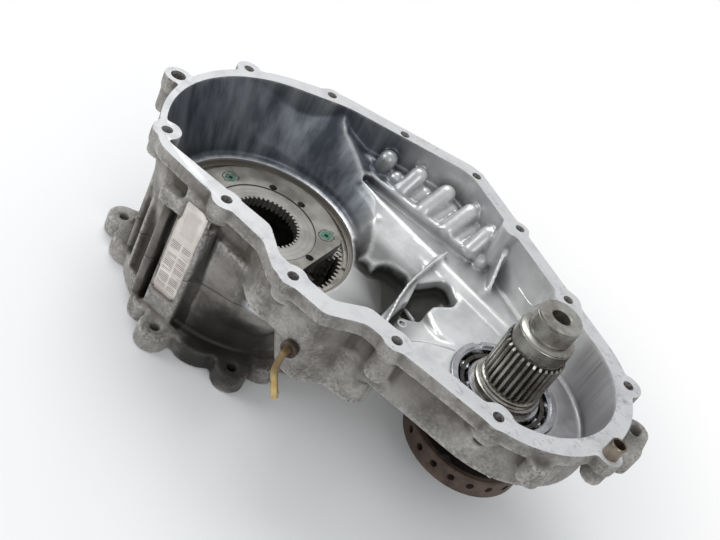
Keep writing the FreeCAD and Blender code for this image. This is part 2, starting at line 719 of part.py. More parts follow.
def output_flange():
    x = centre_distance
    plate_low = drum_z + 4
    profile = [(hub_seat_r, plate_low), (drum_r - drum_wall, plate_low),
               (drum_r - drum_wall, drum_z), (drum_r - 1, drum_z), (drum_r, drum_z + 1),
               (drum_r, drum_top_z - 1), (drum_r - 1, drum_top_z), (drum_r - drum_wall, drum_top_z),
               (drum_r - drum_wall - 1, plate_low + drum_plate_thick),
               (hub_r + 3, plate_low + drum_plate_thick), (hub_r, plate_low + drum_plate_thick + 3),
               (hub_r, hub_top_z), (hub_seat_r, hub_top_z)]
    solid = turned(profile, output_axis)
    for n in range(drum_hole_count):
        way = v(*on_ring(1.0, drum_hole_turn + n * 360.0 / drum_hole_count))
        start = v(x, 0, drum_hole_z) + way * (drum_r - drum_wall - 3)
        solid = solid.cut(Part.makeCylinder(drum_hole_r, drum_wall + 8, start, way))
    for n in range(6):
        hx, hy = on_ring(37.0, 30 + n * 60)
        solid = solid.cut(rod(4.2, plate_low - 1, plate_low + 20, (x + hx, hy)))
    return solid


def flange_washer():
    return tube(nut_flats_r + 1, thread_r + 0.2, drum_z + 1.0, drum_z + 4, output_axis)


def flange_nut():
    points = []
    for n in range(6):
        hx, hy = on_ring(nut_flats_r / math.cos(math.radians(30)), n * 60)
        points.append((centre_distance + hx, hy))
    high = drum_z + 1.0
    return prism(points, high - nut_high + 2, high).cut(rod(thread_r, 0, 60, output_axis))


def output_seal():
    low = output_boss_z
    profile = [(seal_r, low), (seal_r, low + seal_thick), (seal_r - 2, low + seal_thick),
               (seal_r - 2, low + 2), (seal_lip_r + 2, low + 2), (seal_lip_r + 1.5, low + seal_thick - 1),
               (seal_lip_r, low + seal_thick - 3), (seal_lip_r, low)]
    return turned(profile, output_axis)


def output_snap_ring():
    low = output_bearing_z + bearing_wide
    return snap_ring(bearing_outer_r + 1.4, 4.0, low, output_axis, 150)


# Input end

def input_retainer():
    low = input_boss_z - retainer_thick
    ring = tube(input_boss_r - 3, bearing_outer_r - 10, low, input_boss_z)
    for x, y in retainer_places():
        ring = ring.cut(rod(screw_r, -1, 20, (x, y)))
    return ring


def retainer_places():
    return [on_ring(bearing_outer_r + 7, 30 + n * 60) for n in range(6)]


def retainer_screws():
    screws = []
    for x, y in retainer_places():
        low = input_boss_z - retainer_thick
        points = [(x + a, y + b) for a, b in [on_ring(5.6, 60 * k) for k in range(6)]]
        head = prism(points, low - 1.9, low)
        screws.append(head.fuse(rod(screw_r, low - 0.5, low + 14, (x, y))))
    return Part.makeCompound(screws)


def input_seal():
    low = input_boss_z - retainer_thick
    profile = [(bearing_outer_r - 10, low), (bearing_outer_r - 10, low + 3.6),
               (bearing_outer_r - 12, low + 3.6), (bearing_outer_r - 12, low + 1.6),
               (bearing_bore_r + 2, low + 1.6), (bearing_bore_r + 0.35, low + 3.4),
               (bearing_bore_r + 0.35, low)]
    return turned(profile)


# Small pieces

def dowel_sleeve(name):
    x, y, _ = rim_bosses[name]
    top = mate_z + dowel_stand
    # a shallow groove at the case face parts the pressed end from the standing end
    ring = rod(dowel_hole_r, top - dowel_length, mate_z, (x, y))
    neck = dowel_groove_wide / 2
    ring = ring.fuse(rod(dowel_hole_r - dowel_groove_deep, mate_z - neck, mate_z + neck, (x, y)))
    ring = ring.cut(tube(dowel_hole_r + 1, dowel_hole_r - dowel_groove_deep, mate_z - neck, mate_z + 1, (x, y)))
    slim = dowel_hole_r - dowel_chamfer
    profile = [(0, mate_z + neck), (dowel_hole_r, mate_z + neck), (dowel_hole_r, top - dowel_chamfer),
               (slim, top), (0, top)]
    ring = ring.fuse(turned(profile, (x, y)))
    return ring.cut(rod(dowel_hole_r - dowel_wall, top - dowel_length - 1, top + 1, (x, y)))


def vent_fitting():
    way = v(0, 1, 0)
    base = Part.makeCylinder(4.0, 14, v(vent_x, -110, vent_z), way)
    collar = Part.makeCylinder(6.5, 4.2, v(vent_x, -112, vent_z), way)
    return base.fuse(collar).cut(Part.makeCylinder(1.8, 30, v(vent_x, -115, vent_z), way))


def vent_tube():
    # out of the fitting, down, then leaning toward the output end
    outer = 3.2
    bore = 1.9
    places = [v(vent_x, -112, vent_z), v(vent_x, -118.5, vent_z), v(vent_x + 0.5, -118.5, vent_z - 17),
              v(vent_x + 10.5, -118.5, vent_z - 37)]
    bends = [5.0, 9.0]
    edges = []
    last = places[0]
    for n in (1, 2):
        before = (places[n - 1] - places[n]).normalize()
        after = (places[n + 1] - places[n]).normalize()
        half = before.getAngle(after) / 2
        reach = bends[n - 1] / math.tan(half)
        start = places[n] + before * reach
        end = places[n] + after * reach
        middle = places[n] + (before + after).normalize() * (bends[n - 1] / math.sin(half) - bends[n - 1])
        edges.append(Part.LineSegment(last, start).toShape())
        edges.append(Part.Arc(start, middle, end).toShape())
        last = end
    edges.append(Part.LineSegment(last, places[3]).toShape())
    path = Part.Wire(edges)
    ring = Part.Wire(Part.makeCircle(outer, places[0], v(0, -1, 0)))
    hole = Part.Wire(Part.makeCircle(bore, places[0], v(0, -1, 0)))
    return path.makePipeShell([ring], True, False).cut(path.makePipeShell([hole], True, False))


def label_plate():
    face = barrel_r + label_pad_stand - 1
    return block(-21.5, -face - label_thick, label_low_z, 0.5, -face, label_high_z)


def oil_magnet():
    return rod(11, middle_floor_z, middle_floor_z + 5, (100, -70))


os.makedirs("parts", exist_ok=True)
nodes = {
    "front_case": front_case(),
    "annulus_gear": annulus_gear(),
    "annulus_snap_ring": snap_ring(lip_bore_r + 3.4, 6.6, ring_z + ring_wide + 0.3, (0, 0), 20),
    "planet_carrier": planet_carrier(),
    "carrier_front_plate": carrier_front_plate(),
    "planet_gear_a": planet_gear(0),
    "planet_gear_b": planet_gear(1),
    "planet_gear_c": planet_gear(2),
    "planet_pins": planet_pins(),
    "planet_washers": thrust_washers(),
    "input_gear": input_gear(),
    "input_bearing_outer": outer_race(input_bearing_z, (0, 0)),
    "input_bearing_inner": inner_race(input_bearing_z, (0, 0)),
    "input_bearing_balls": balls(input_bearing_z, (0, 0)),
    "input_bearing_cage": cage(input_bearing_z, (0, 0)),
    "input_retainer": input_retainer(),
    "retainer_screws": retainer_screws(),
    "input_seal": input_seal(),
    "front_output_shaft": front_output_shaft(),
    "output_bearing_outer": outer_race(output_bearing_z, output_axis),
    "output_bearing_inner": inner_race(output_bearing_z, output_axis),
    "output_bearing_balls": balls(output_bearing_z, output_axis),
    "output_bearing_cage": cage(output_bearing_z, output_axis),
    "output_snap_ring": output_snap_ring(),
    "output_seal": output_seal(),
    "output_flange": output_flange(),
    "flange_washer": flange_washer(),
    "flange_nut": flange_nut(),
    "dowel_sleeve": dowel_sleeve("m"),
    "vent_fitting": vent_fitting(),
    "vent_tube": vent_tube(),
    "label_plate": label_plate(),
    "oil_magnet": oil_magnet(),
}
for name, shape in nodes.items():
    print(name, "solids", len(shape.Solids), "volume", round(shape.Volume), "valid", shape.isValid())
    shape.exportStep("parts/" + name + ".step")
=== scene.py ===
import json
import math
import bpy
import bmesh
import numpy as np
from mathutils import Matrix, Vector
from mathutils.bvhtree import BVHTree


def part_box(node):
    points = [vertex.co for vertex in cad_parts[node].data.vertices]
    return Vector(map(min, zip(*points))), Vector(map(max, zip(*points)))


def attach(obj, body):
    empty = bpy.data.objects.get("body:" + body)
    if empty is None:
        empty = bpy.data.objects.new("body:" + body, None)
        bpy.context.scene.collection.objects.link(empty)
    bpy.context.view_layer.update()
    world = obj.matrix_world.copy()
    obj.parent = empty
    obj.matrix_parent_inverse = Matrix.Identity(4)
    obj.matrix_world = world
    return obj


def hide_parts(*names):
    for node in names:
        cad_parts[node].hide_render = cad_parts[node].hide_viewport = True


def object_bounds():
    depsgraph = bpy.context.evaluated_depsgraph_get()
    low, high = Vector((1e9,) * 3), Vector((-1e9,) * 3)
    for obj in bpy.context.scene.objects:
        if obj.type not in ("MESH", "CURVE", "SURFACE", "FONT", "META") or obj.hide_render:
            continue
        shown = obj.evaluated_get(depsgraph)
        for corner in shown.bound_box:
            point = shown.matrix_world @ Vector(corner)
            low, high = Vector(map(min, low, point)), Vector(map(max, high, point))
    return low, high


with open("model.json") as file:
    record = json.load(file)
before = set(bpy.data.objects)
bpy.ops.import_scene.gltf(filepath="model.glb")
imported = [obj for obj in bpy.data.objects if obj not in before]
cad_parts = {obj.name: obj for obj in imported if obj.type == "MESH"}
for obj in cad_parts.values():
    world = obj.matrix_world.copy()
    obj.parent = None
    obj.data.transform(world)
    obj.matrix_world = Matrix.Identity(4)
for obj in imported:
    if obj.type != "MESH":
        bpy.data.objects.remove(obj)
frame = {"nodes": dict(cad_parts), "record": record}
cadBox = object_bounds()
nodes = frame["nodes"]
bodyOf = {part: body for body, parts in frame["record"]["behaviour"]["bodies"].items() for part in parts}
outputAxis = (0.229, 0.0)
print("frame loaded,", len(nodes), "parts")


def addPiece(name, mesh, body, material=None, stands=()):
    piece = bpy.data.objects.new(name, mesh)
    bpy.context.scene.collection.objects.link(piece)
    if material is not None:
        mesh.materials.clear()
        mesh.materials.append(material)
    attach(piece, body)
    if stands:
        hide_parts(*stands)
    return piece


def smoothEdges(mesh, degrees=32):
    mesh.shade_smooth()
    mesh.set_sharp_from_angle(angle=math.radians(degrees))


def meshFrom(name, points, faces):
    mesh = bpy.data.meshes.new(name)
    mesh.from_pydata([tuple(p) for p in points], [], faces)
    mesh.validate()
    return mesh


def mergedCopy(node):
    # a CAD part's loose triangles joined into one shell
    bm = bmesh.new()
    bm.from_mesh(nodes[node].data)
    bmesh.ops.remove_doubles(bm, verts=bm.verts, dist=2e-6)
    mesh = bpy.data.meshes.new(node + "Copy")
    bm.to_mesh(mesh)
    bm.free()
    if "custom_normal" in mesh.attributes:
        mesh.attributes.remove(mesh.attributes["custom_normal"])
    return mesh


def lathe(profile, steps=96, centre=(0, 0), closed=True):
    # turns a list of (radius, height) points in metres about an upright axis
    points, faces, rings = [], [], []
    for r, z in profile:
        if r < 1e-7:
            rings.append([len(points)])
            points.append((centre[0], centre[1], z))
            continue
        rings.append(list(range(len(points), len(points) + steps)))
        for k in range(steps):
            turn = 2 * math.pi * k / steps
            points.append((centre[0] + r * math.cos(turn), centre[1] + r * math.sin(turn), z))
    pairs = list(zip(rings, rings[1:] + ([rings[0]] if closed else [])))
    for low, high in pairs:
        for k in range(steps):
            nextK = (k + 1) % steps
            if len(low) == 1 and len(high) == 1:
                break
            if len(low) == 1:
                faces.append((low[0], high[nextK], high[k]))
            elif len(high) == 1:
                faces.append((low[k], low[nextK], high[0]))
            else:
                faces.append((low[k], low[nextK], high[nextK], high[k]))
    return points, faces


def closedUp(mesh):
    # doubled points joined, and all faces turned outward
    bm = bmesh.new()
    bm.from_mesh(mesh)
    bmesh.ops.remove_doubles(bm, verts=bm.verts, dist=1e-7)
    bmesh.ops.recalc_face_normals(bm, faces=bm.faces)
    bm.to_mesh(mesh)
    bm.free()
    return mesh


def latheMesh(name, profile, steps=96, centre=(0, 0), closed=True):
    mesh = closedUp(meshFrom(name, *lathe(profile, steps, centre, closed)))
    smoothEdges(mesh)
    return mesh


cameraPlace = {
    "place": (0.2307619, -0.5736669, 0.5402607),
    "right": (0.7594387, 0.5047285, 0.4104900),
    "down": (0.6210611, -0.3745513, -0.6884725),
    "forward": (-0.1937422, 0.7777921, -0.5979160),
    "lens": 47.85,
}


def makeCamera():
    data = bpy.data.cameras.new("photoCamera")
    data.lens = cameraPlace["lens"]
    data.sensor_width = 36
    data.clip_start, data.clip_end = 0.02, 60
    camera = bpy.data.objects.new("photoCamera", data)
    bpy.context.scene.collection.objects.link(camera)
    right, down, forward = (Vector(cameraPlace[k]) for k in ("right", "down", "forward"))
    turn = Matrix((right, -down, -forward)).transposed()
    camera.matrix_world = Matrix.Translation(cameraPlace["place"]) @ turn.to_4x4()
    bpy.context.scene.camera = camera


makeCamera()
print("camera set")


class Value:
    # one socket of a material, so that its sums read as sums
    def __init__(self, look, socket):
        self.look, self.socket = look, socket

    def sum(self, operation, first, second=0.0, clamp=False):
        settings = {"operation": operation, "use_clamp": clamp}
        return self.look.node("ShaderNodeMath", settings, {0: first, 1: second})

    def __add__(self, other): return self.sum("ADD", self, other)
    def __radd__(self, other): return self.sum("ADD", other, self)
    def __sub__(self, other): return self.sum("SUBTRACT", self, other)
    def __rsub__(self, other): return self.sum("SUBTRACT", other, self)
    def __mul__(self, other): return self.sum("MULTIPLY", self, other)
    def __rmul__(self, other): return self.sum("MULTIPLY", other, self)
    def __truediv__(self, other): return self.sum("DIVIDE", self, other)
    def __abs__(self): return self.sum("ABSOLUTE", self)
    def clip(self): return self.sum("ADD", self, 0.0, True)
    def most(self, other): return self.sum("MAXIMUM", self, other)
    def sine(self): return self.sum("SINE", self)
    def root(self): return self.sum("SQRT", self)

    def between(self, low, high, start=0.0, end=1.0):
        # a soft step from start to end as the value goes from low to high
        return self.look.node("ShaderNodeMapRange", {"interpolation_type": "SMOOTHSTEP"},
                              {0: self, 1: low, 2: high, 3: start, 4: end})


class Look:
    # one material and its nodes
    def __init__(self, name):
        self.material = bpy.data.materials.new(name)
        self.material.use_nodes = True
        self.tree = self.material.node_tree
        self.tree.nodes.clear()
        self.out = self.tree.nodes.new("ShaderNodeOutputMaterial")
        self.object = self.node("ShaderNodeTexCoord", {}, {}, "Object")

    def node(self, kind, settings=None, sockets=None, out=0):
        made = self.tree.nodes.new(kind)
        for key, value in (settings or {}).items():
            setattr(made, key, value)
        for key, value in (sockets or {}).items():
            if isinstance(value, Value):
                self.tree.links.new(value.socket, made.inputs[key])
            elif isinstance(value, tuple) and len(value) == 3 and made.inputs[key].type == "RGBA":
                made.inputs[key].default_value = (*value, 1)
            else:
                made.inputs[key].default_value = value
        return Value(self, made.outputs[out])

    def noise(self, scale, detail=4.0, rough=0.55, at=None, bend=0.0):
        return self.node("ShaderNodeTexNoise", {}, {"Vector": at or self.object, "Scale": scale,
                         "Detail": detail, "Roughness": rough, "Distortion": bend})

    def cells(self, scale):
        return self.node("ShaderNodeTexVoronoi", {}, {"Vector": self.object, "Scale": scale}, "Distance")

    def mapped(self, turn=(0, 0, 0), scale=(1, 1, 1)):
        return self.node("ShaderNodeMapping", {}, {"Vector": self.object, "Rotation": turn, "Scale": scale})

    def split(self):
        made = self.tree.nodes.new("ShaderNodeSeparateXYZ")
        self.tree.links.new(self.object.socket, made.inputs[0])
        return [Value(self, made.outputs[k]) for k in range(3)]

    def painted(self, name):
        # a number kept on the mesh's own points
        return self.node("ShaderNodeAttribute", {"attribute_name": name}, {}, "Fac")

    def mix(self, share, first, second):
        return self.node("ShaderNodeMix", {"data_type": "RGBA"}, {0: share, 6: first, 7: second}, 2)

    def bump(self, height, strength, deep):
        return self.node("ShaderNodeBump", {}, {"Height": height, "Strength": strength, "Distance": deep})

    def finish(self, colour, rough, metal, normal):
        shader = self.node("ShaderNodeBsdfPrincipled", {}, {"Base Color": colour, "Roughness": rough,
                           "Metallic": metal, "Normal": normal})
        self.tree.links.new(shader.socket, self.out.inputs[0])
        return self.material


studio = {
    "floorColour": (0.93, 0.935, 0.94),
    "floorSpan": 6,
    "floorGap": 0.0002,
    "fadeCentre": 0.1, "fadeStart": 0.21, "fadeEnd": 0.46,
    "worldColour": (0.95, 0.97, 1.0, 1),
    "worldStrength": 0.60,
    "aim": (0.1, 0.0, 0.05),
    "keyPower": 8.4, "keyPlace": (-0.55, 0.55, 1.35), "keySize": 0.9,
    "fillPower": 3.0, "fillPlace": (0.9, -0.9, 0.8), "fillSize": 0.8,
    "sidePower": 3.5, "sidePlace": (-0.9, -0.5, 0.5), "sideSize": 0.6,
}


def addLamp(name, power, place, size):
    data = bpy.data.lights.new(name, "AREA")
    data.energy, data.size, data.shape = power, size, "DISK"
    lamp = bpy.data.objects.new(name, data)
    bpy.context.scene.collection.objects.link(lamp)
    lamp.location = place
    lamp.rotation_mode = "QUATERNION"
    lamp.rotation_quaternion = (Vector(studio["aim"]) - Vector(place)).to_track_quat("-Z", "Y")


def makeStudio():
    world = bpy.data.worlds.new("studioWorld")
    bpy.context.scene.world = world
    world.use_nodes = True
    tree = world.node_tree
    tree.nodes.clear()
    out = tree.nodes.new("ShaderNodeOutputWorld")
    path = tree.nodes.new("ShaderNodeLightPath")
    seen = tree.nodes.new("ShaderNodeBackground")
    seen.inputs[0].default_value, seen.inputs[1].default_value = (1, 1, 1, 1), 1.0
    lit = tree.nodes.new("ShaderNodeBackground")
    lit.inputs[0].default_value = studio["worldColour"]
    lit.inputs[1].default_value = studio["worldStrength"]
    pick = tree.nodes.new("ShaderNodeMixShader")
    tree.links.new(path.outputs["Is Camera Ray"], pick.inputs[0])
    tree.links.new(lit.outputs[0], pick.inputs[1])
    tree.links.new(seen.outputs[0], pick.inputs[2])
    tree.links.new(pick.outputs[0], out.inputs[0])
    for side in ("key", "fill", "side"):
        addLamp(side + "Lamp", studio[side + "Power"], studio[side + "Place"], studio[side + "Size"])
    low, far = cadBox[0].z - studio["floorGap"], studio["floorSpan"]
    floor = bpy.data.objects.new("paleFloor", meshFrom("paleFloor", [
        (-far, -far, low), (far, -far, low), (far, far, low), (-far, far, low)], [(0, 1, 2, 3)]))
    bpy.context.scene.collection.objects.link(floor)
    look = Look("paleFloorPaint")
    spots = look.noise(1.2, 2)
    colour = look.mix(spots, studio["floorColour"], tuple(c * 0.985 for c in studio["floorColour"]))
    shader = look.node("ShaderNodeBsdfPrincipled", {}, {"Base Color": colour, "Roughness": 0.9,
                       "Specular IOR Level": 0.1})
    white = look.node("ShaderNodeEmission", {}, {"Color": (1, 1, 1), "Strength": 1.0})
    # the far floor fades to the white of the backdrop for the camera, the object's shadow stays
    x, y, z = look.split()
    x = x - studio["fadeCentre"]
    faded = (x * x + y * y).root().between(studio["fadeStart"], studio["fadeEnd"])
    ray = look.node("ShaderNodeLightPath", {}, {}, "Is Camera Ray")
    blend = look.node("ShaderNodeMixShader", {}, {0: faded * ray})
    look.tree.links.new(shader.socket, blend.socket.node.inputs[1])
    look.tree.links.new(white.socket, blend.socket.node.inputs[2])
    look.tree.links.new(blend.socket, look.out.inputs[0])
    floor.data.materials.append(look.material)
    bpy.context.scene.view_settings.view_transform = "Standard"


makeStudio()
print("studio lit")


casting = {
    "voxel": 0.00145,
    "softenRounds": 5,
    "openFace": 0.1435,
    # holes in the rim: x, y and depth in mm
    "boltHoles": [(-96, 59, 34), (-39, 108, 30), (28, 131, 30), (97, 150, 30), (156.5, 124, 34),
                  (224, 82, 34), (297, 39, 30), (238, -85, 20), (156.5, -91, 36), (78, -108, 20),
                  (4, -91, 18), (-69, -73, 22)],
    "boltHoleRadius": 0.0043,
    "dowelHole": (-113, -12, 27),
    "dowelRadius": 0.00603,
    "sleevePlace": (310, -41, 13),
    "mostTriangles": 190000,
    "innerRim": [(-140.7, 24.8, 101), (-20, 109, 60), (92, 147, 30), (311, 27.2, 71.5), (282, -81, 71.5),
                 (128, -82, 10), (108, -101, 12), (60, -100, 12), (38, -82, 12), (-66, -82, 15)],
    "barrelFloor": 0.033,
    "lipRadius": 0.0790,
    "lipStart": 0.0700,
    "lipStep": 0.0702,
    "lipTop": 0.085,
    "faceStock": 0.002,
    "cutterOver": 0.003,
    "lookDownFrom": 0.152,
    "lookDownPlaces": [(0, 0), (0.13, 0.03), (0.24, 0), (0.07, -0.05), (0.05, 0.08), (0.18, 0.06),
                       (0.17, -0.05), (-0.05, 0.02), (0.1, 0.11)],
}


def applied(piece, keepName):
    # the evaluated shape as a plain mesh
    graph = bpy.context.evaluated_depsgraph_get()
    mesh = bpy.data.meshes.new_from_object(piece.evaluated_get(graph))
    mesh.name = keepName
    old = piece.data
    piece.modifiers.clear()
    piece.data = mesh
    bpy.data.meshes.remove(old)
    return mesh


def tubeShape(x, y, radius, low, high, steps=32):
    return lathe([(0, low), (radius, low), (radius, high), (0, high)], steps, (x, y), closed=False)


def boxShape(x0, y0, z0, x1, y1, z1):
    points = [(x0, y0, z0), (x1, y0, z0), (x1, y1, z0), (x0, y1, z0),
              (x0, y0, z1), (x1, y0, z1), (x1, y1, z1), (x0, y1, z1)]
    faces = [(0, 3, 2, 1), (4, 5, 6, 7), (0, 1, 5, 4), (1, 2, 6, 5), (2, 3, 7, 6), (3, 0, 4, 7)]
    return points, faces


def joinedMesh(name, shapes):
    points, faces = [], []
    for some, sides in shapes:
        start = len(points)
        points += list(some)
        faces += [tuple(k + start for k in side) for side in sides]
    return closedUp(meshFrom(name, points, faces))


def cutWith(piece, toolMesh):
    tool = bpy.data.objects.new("cutter", toolMesh)
    bpy.context.scene.collection.objects.link(tool)
    cut = piece.modifiers.new("cut", "BOOLEAN")
    cut.operation, cut.solver, cut.object = "DIFFERENCE", "EXACT", tool
    applied(piece, piece.name)
    bpy.data.objects.remove(tool)
    bpy.data.meshes.remove(toolMesh)


def softenedField(mesh, values, rounds):
    # spreads a list of numbers or points over a mesh's neighbours
    edges = np.empty(len(mesh.edges) * 2, np.int64)
    mesh.edges.foreach_get("vertices", edges)
    a, b = edges[0::2], edges[1::2]
    count = np.bincount(edges, minlength=len(mesh.vertices)).astype(float)
    count[count == 0] = 1
    values = np.array(values, float)
    flat = values.reshape(len(values), -1)
    for _ in range(rounds):
        total = np.empty_like(flat)
        for k in range(flat.shape[1]):
            fromBoth = np.bincount(a, flat[b, k], len(flat)) + np.bincount(b, flat[a, k], len(flat))
            total[:, k] = fromBoth / count
        flat = 0.5 * flat + 0.5 * total
    return flat.reshape(values.shape)


def meshPoints(mesh, kind="co"):
    # the places of a mesh's points, or their normals
    values = np.empty(len(mesh.vertices) * 3)
    mesh.vertices.foreach_get(kind, values)
    return values.reshape(-1, 3)


def keepNumber(mesh, name, values):
    made = mesh.attributes.new(name, "FLOAT", "POINT")
    made.data.foreach_set("value", np.asarray(values, np.float32))


def roundedOutline(corners, steps=12):
    # corner points with their rounding radii in mm, as one closed line in metres
    line = []
    for k, (x, y, r) in enumerate(corners):
        here = np.array((x, y), float)
        back = np.array(corners[k - 1][:2]) - here
        ahead = np.array(corners[(k + 1) % len(corners)][:2]) - here
        back, ahead = back / np.linalg.norm(back), ahead / np.linalg.norm(ahead)
        half = math.acos(float(back @ ahead)) / 2
        centre = here + (back + ahead) / np.linalg.norm(back + ahead) * r / math.sin(half)
        first = here + back * r / math.tan(half) - centre
        last = here + ahead * r / math.tan(half) - centre
        start = math.atan2(first[1], first[0])
        sweep = (math.atan2(last[1], last[0]) - start + math.pi) % (2 * math.pi) - math.pi
        for step in range(steps + 1):
            turn = start + sweep * step / steps
            line.append(centre + r * np.array((math.cos(turn), math.sin(turn))))
    return np.array(line) / 1000


def withinLine(flat, line):
    # which points of a plan lie within a closed line
    found = np.zeros(len(flat), bool)
    x, y = flat.T
    for (x0, y0), (x1, y1) in zip(line, np.roll(line, -1, 0)):
        if y0 != y1:
            crosses = (y0 > y) != (y1 > y)
            found ^= crosses & (x < (x1 - x0) * (y - y0) / (y1 - y0) + x0)
    return found


def paintCase(mesh):
    # marks the inner skin, the convex edges (worn, and inside also a painted highlight) and the hollows
    # (darker; inside, painted shade)
    co, no = meshPoints(mesh), meshPoints(mesh, "normal")
    tree = BVHTree.FromPolygons([tuple(v) for v in co], [tuple(f.vertices) for f in mesh.polygons])
    off = co + no * 0.002
    near = withinLine(off[:, :2], roundedOutline(casting["innerRim"])) & (co[:, 2] > casting["barrelFloor"])
    targets = [Vector((x, y, casting["lookDownFrom"])) for x, y in casting["lookDownPlaces"]]
    inside = np.zeros(len(co))
    for k in np.nonzero(near)[0]:
        start = Vector(co[k] + no[k] * 0.0006)
        for target in targets:
            way = target - start
            if tree.ray_cast(start, way, way.length)[0] is None:
                inside[k] = 1
                break
    fine = ((softenedField(mesh, co, 5) - co) * no).sum(1)
    broad = ((softenedField(mesh, co, 45) - co) * no).sum(1)
    keepNumber(mesh, "inside", softenedField(mesh, inside, 2))
    keepNumber(mesh, "edge", softenedField(mesh, np.clip(-fine / 0.00035, 0, 1), 1))
    keepNumber(mesh, "hollow", softenedField(mesh, np.clip(fine / 0.0003, 0, 1), 1))
    keepNumber(mesh, "deep", np.clip(broad / 0.0022, 0, 1))


def castSkin():
    # the CAD casting as one skin with softened edges, and some stock on its open face
    top = casting["openFace"]
    mesh = mergedCopy("front_case")
    co = meshPoints(mesh)
    onFace = co[:, 2] > top - 0.0001
    co[:, 2] = np.where(onFace, top + casting["faceStock"], co[:, 2])
    mesh.vertices.foreach_set("co", co.ravel())
    piece = bpy.data.objects.new("frontCaseCasting", mesh)
    bpy.context.scene.collection.objects.link(piece)
    shell = piece.modifiers.new("skin", "REMESH")
    shell.mode, shell.voxel_size, shell.adaptivity = "VOXEL", casting["voxel"], 0
    mesh = applied(piece, "frontCaseCasting")
    mesh.vertices.foreach_set("co", softenedField(mesh, meshPoints(mesh), casting["softenRounds"]).ravel())
    mesh.update()
    print("casting skin", len(mesh.polygons))
    return piece


def machineCase(piece):
    # the open face milled flat, the rim drilled and the lip round the gear set turned
    top = casting["openFace"]
    over = top + casting["cutterOver"]
    cutWith(piece, joinedMesh("faceCut", [boxShape(-0.2, -0.2, top, 0.4, 0.25, top + 0.02)]))
    drills = [(hole, casting["boltHoleRadius"]) for hole in casting["boltHoles"]]
    drills += [(casting[hole], casting["dowelRadius"]) for hole in ("dowelHole", "sleevePlace")]
    holes = [tubeShape(x / 1000, y / 1000, radius, top - deep / 1000, over)
             for (x, y, deep), radius in drills]
    start, reach, step, high = (casting[k] for k in ("lipStart", "lipRadius", "lipStep", "lipTop"))
    holes.append(lathe([(start, step), (reach, step), (reach, high), (start, high)], 128))
    cutWith(piece, joinedMesh("drills", holes))


def countTriangles(mesh):
    return sum(len(f.vertices) - 2 for f in mesh.polygons)


def makeCase():
    piece = castSkin()
    machineCase(piece)
    triangles = countTriangles(piece.data)
    print("machined", triangles)
    if triangles > casting["mostTriangles"]:
        thin = piece.modifiers.new("thin", "DECIMATE")
        thin.ratio = casting["mostTriangles"] / triangles
        applied(piece, "frontCaseCasting")
    mesh = piece.data
    print("casting triangles", countTriangles(mesh))
    paintCase(mesh)
    mesh.materials.append(castLook())
    mesh.materials.append(machinedLook())
    for face in mesh.polygons:
        if face.normal.z > 0.98 and face.center.z > casting["openFace"] - 0.00002:
            face.material_index = 1
    smoothEdges(mesh, 40)
    return piece


castMarks = {
    # black oil in a puddle at the adapter flange, and black oil with painted shade in the channels beside
    # the label pad
    "oilCentre": (0.046, -0.084, 0.022), "oilReach": 0.052, "oilCore": 0.024,
    "rightChannel": 0.0085, "leftChannel": -0.0270, "wallNear": 0.076, "wallFar": 0.0965, "wallTop": 0.122,
    # the wells between the two floors, where old oil lies, darkened further as painted shade
    "wellTop": 0.0955, "wellStart": 0.04, "wellEnd": 0.165,
    # the turned bore under the lip
    "boreRadius": 0.0797, "boreTop": 0.0735, "boreLow": 0.060,
    # the mould's parting line round the barrel
    "seamHigh": 0.0625, "seamSlope": 0.16, "seamInner": 0.084,
}


def oilOutsideAndChannelShade(x, y, z, blotch):
    m = castMarks
    cx, cy, cz = m["oilCentre"]
    footX, footY, footZ = x - cx, y - cy, (z - cz) * 1.1
    foot = (footX * footX + footY * footY + footZ * footZ).root() + (blotch - 0.5) * 0.03
    ragged = x + (blotch - 0.5) * 0.006
    # the channels beside the label pad: black oil with painted shade where the pad's side drops to the
    # barrel
    rightOfLabel = abs(ragged - m["rightChannel"]).between(0.0055, 0.0025)
    leftOfLabel = abs(ragged - m["leftChannel"]).between(0.0045, 0.0025)
    out = 0 - y
    onWall = out.between(m["wallNear"], m["wallNear"] + 0.004)
    onWall = onWall * out.between(m["wallFar"], m["wallFar"] - 0.002)
    onWall = onWall * z.between(m["wallTop"], m["wallTop"] - 0.014)
    return foot.between(m["oilReach"], m["oilCore"]) + rightOfLabel.most(leftOfLabel) * onWall * 0.85


def outerSkin(look, blotch, lumps, footOilAndChannelShade):
    # sand-cast grey, darker brown in the hollows and broad recesses, black oil at the foot, and black oil
    # with painted shade in the label-pad channels
    edge, hollow, deep = (look.painted(k) for k in ("edge", "hollow", "deep"))
    patch = look.noise(14, 3, 0.5)
    skin = look.mix(blotch.between(0.3, 0.72), (0.135, 0.125, 0.112), (0.37, 0.355, 0.33))
    skin = look.mix(lumps.between(0.52, 0.75) * 0.3, skin, (0.50, 0.485, 0.455))
    brown = (patch.between(0.48, 0.68) * 0.45 + hollow * 0.75 + deep * 0.5).clip()
    skin = look.mix(brown * 0.8, skin, (0.052, 0.040, 0.030))
    skin = look.mix((edge * lumps.between(0.35, 0.6)).clip() * 0.55, skin, (0.62, 0.61, 0.59))
    return look.mix(footOilAndChannelShade.clip() * 0.93, skin, (0.010, 0.008, 0.007))


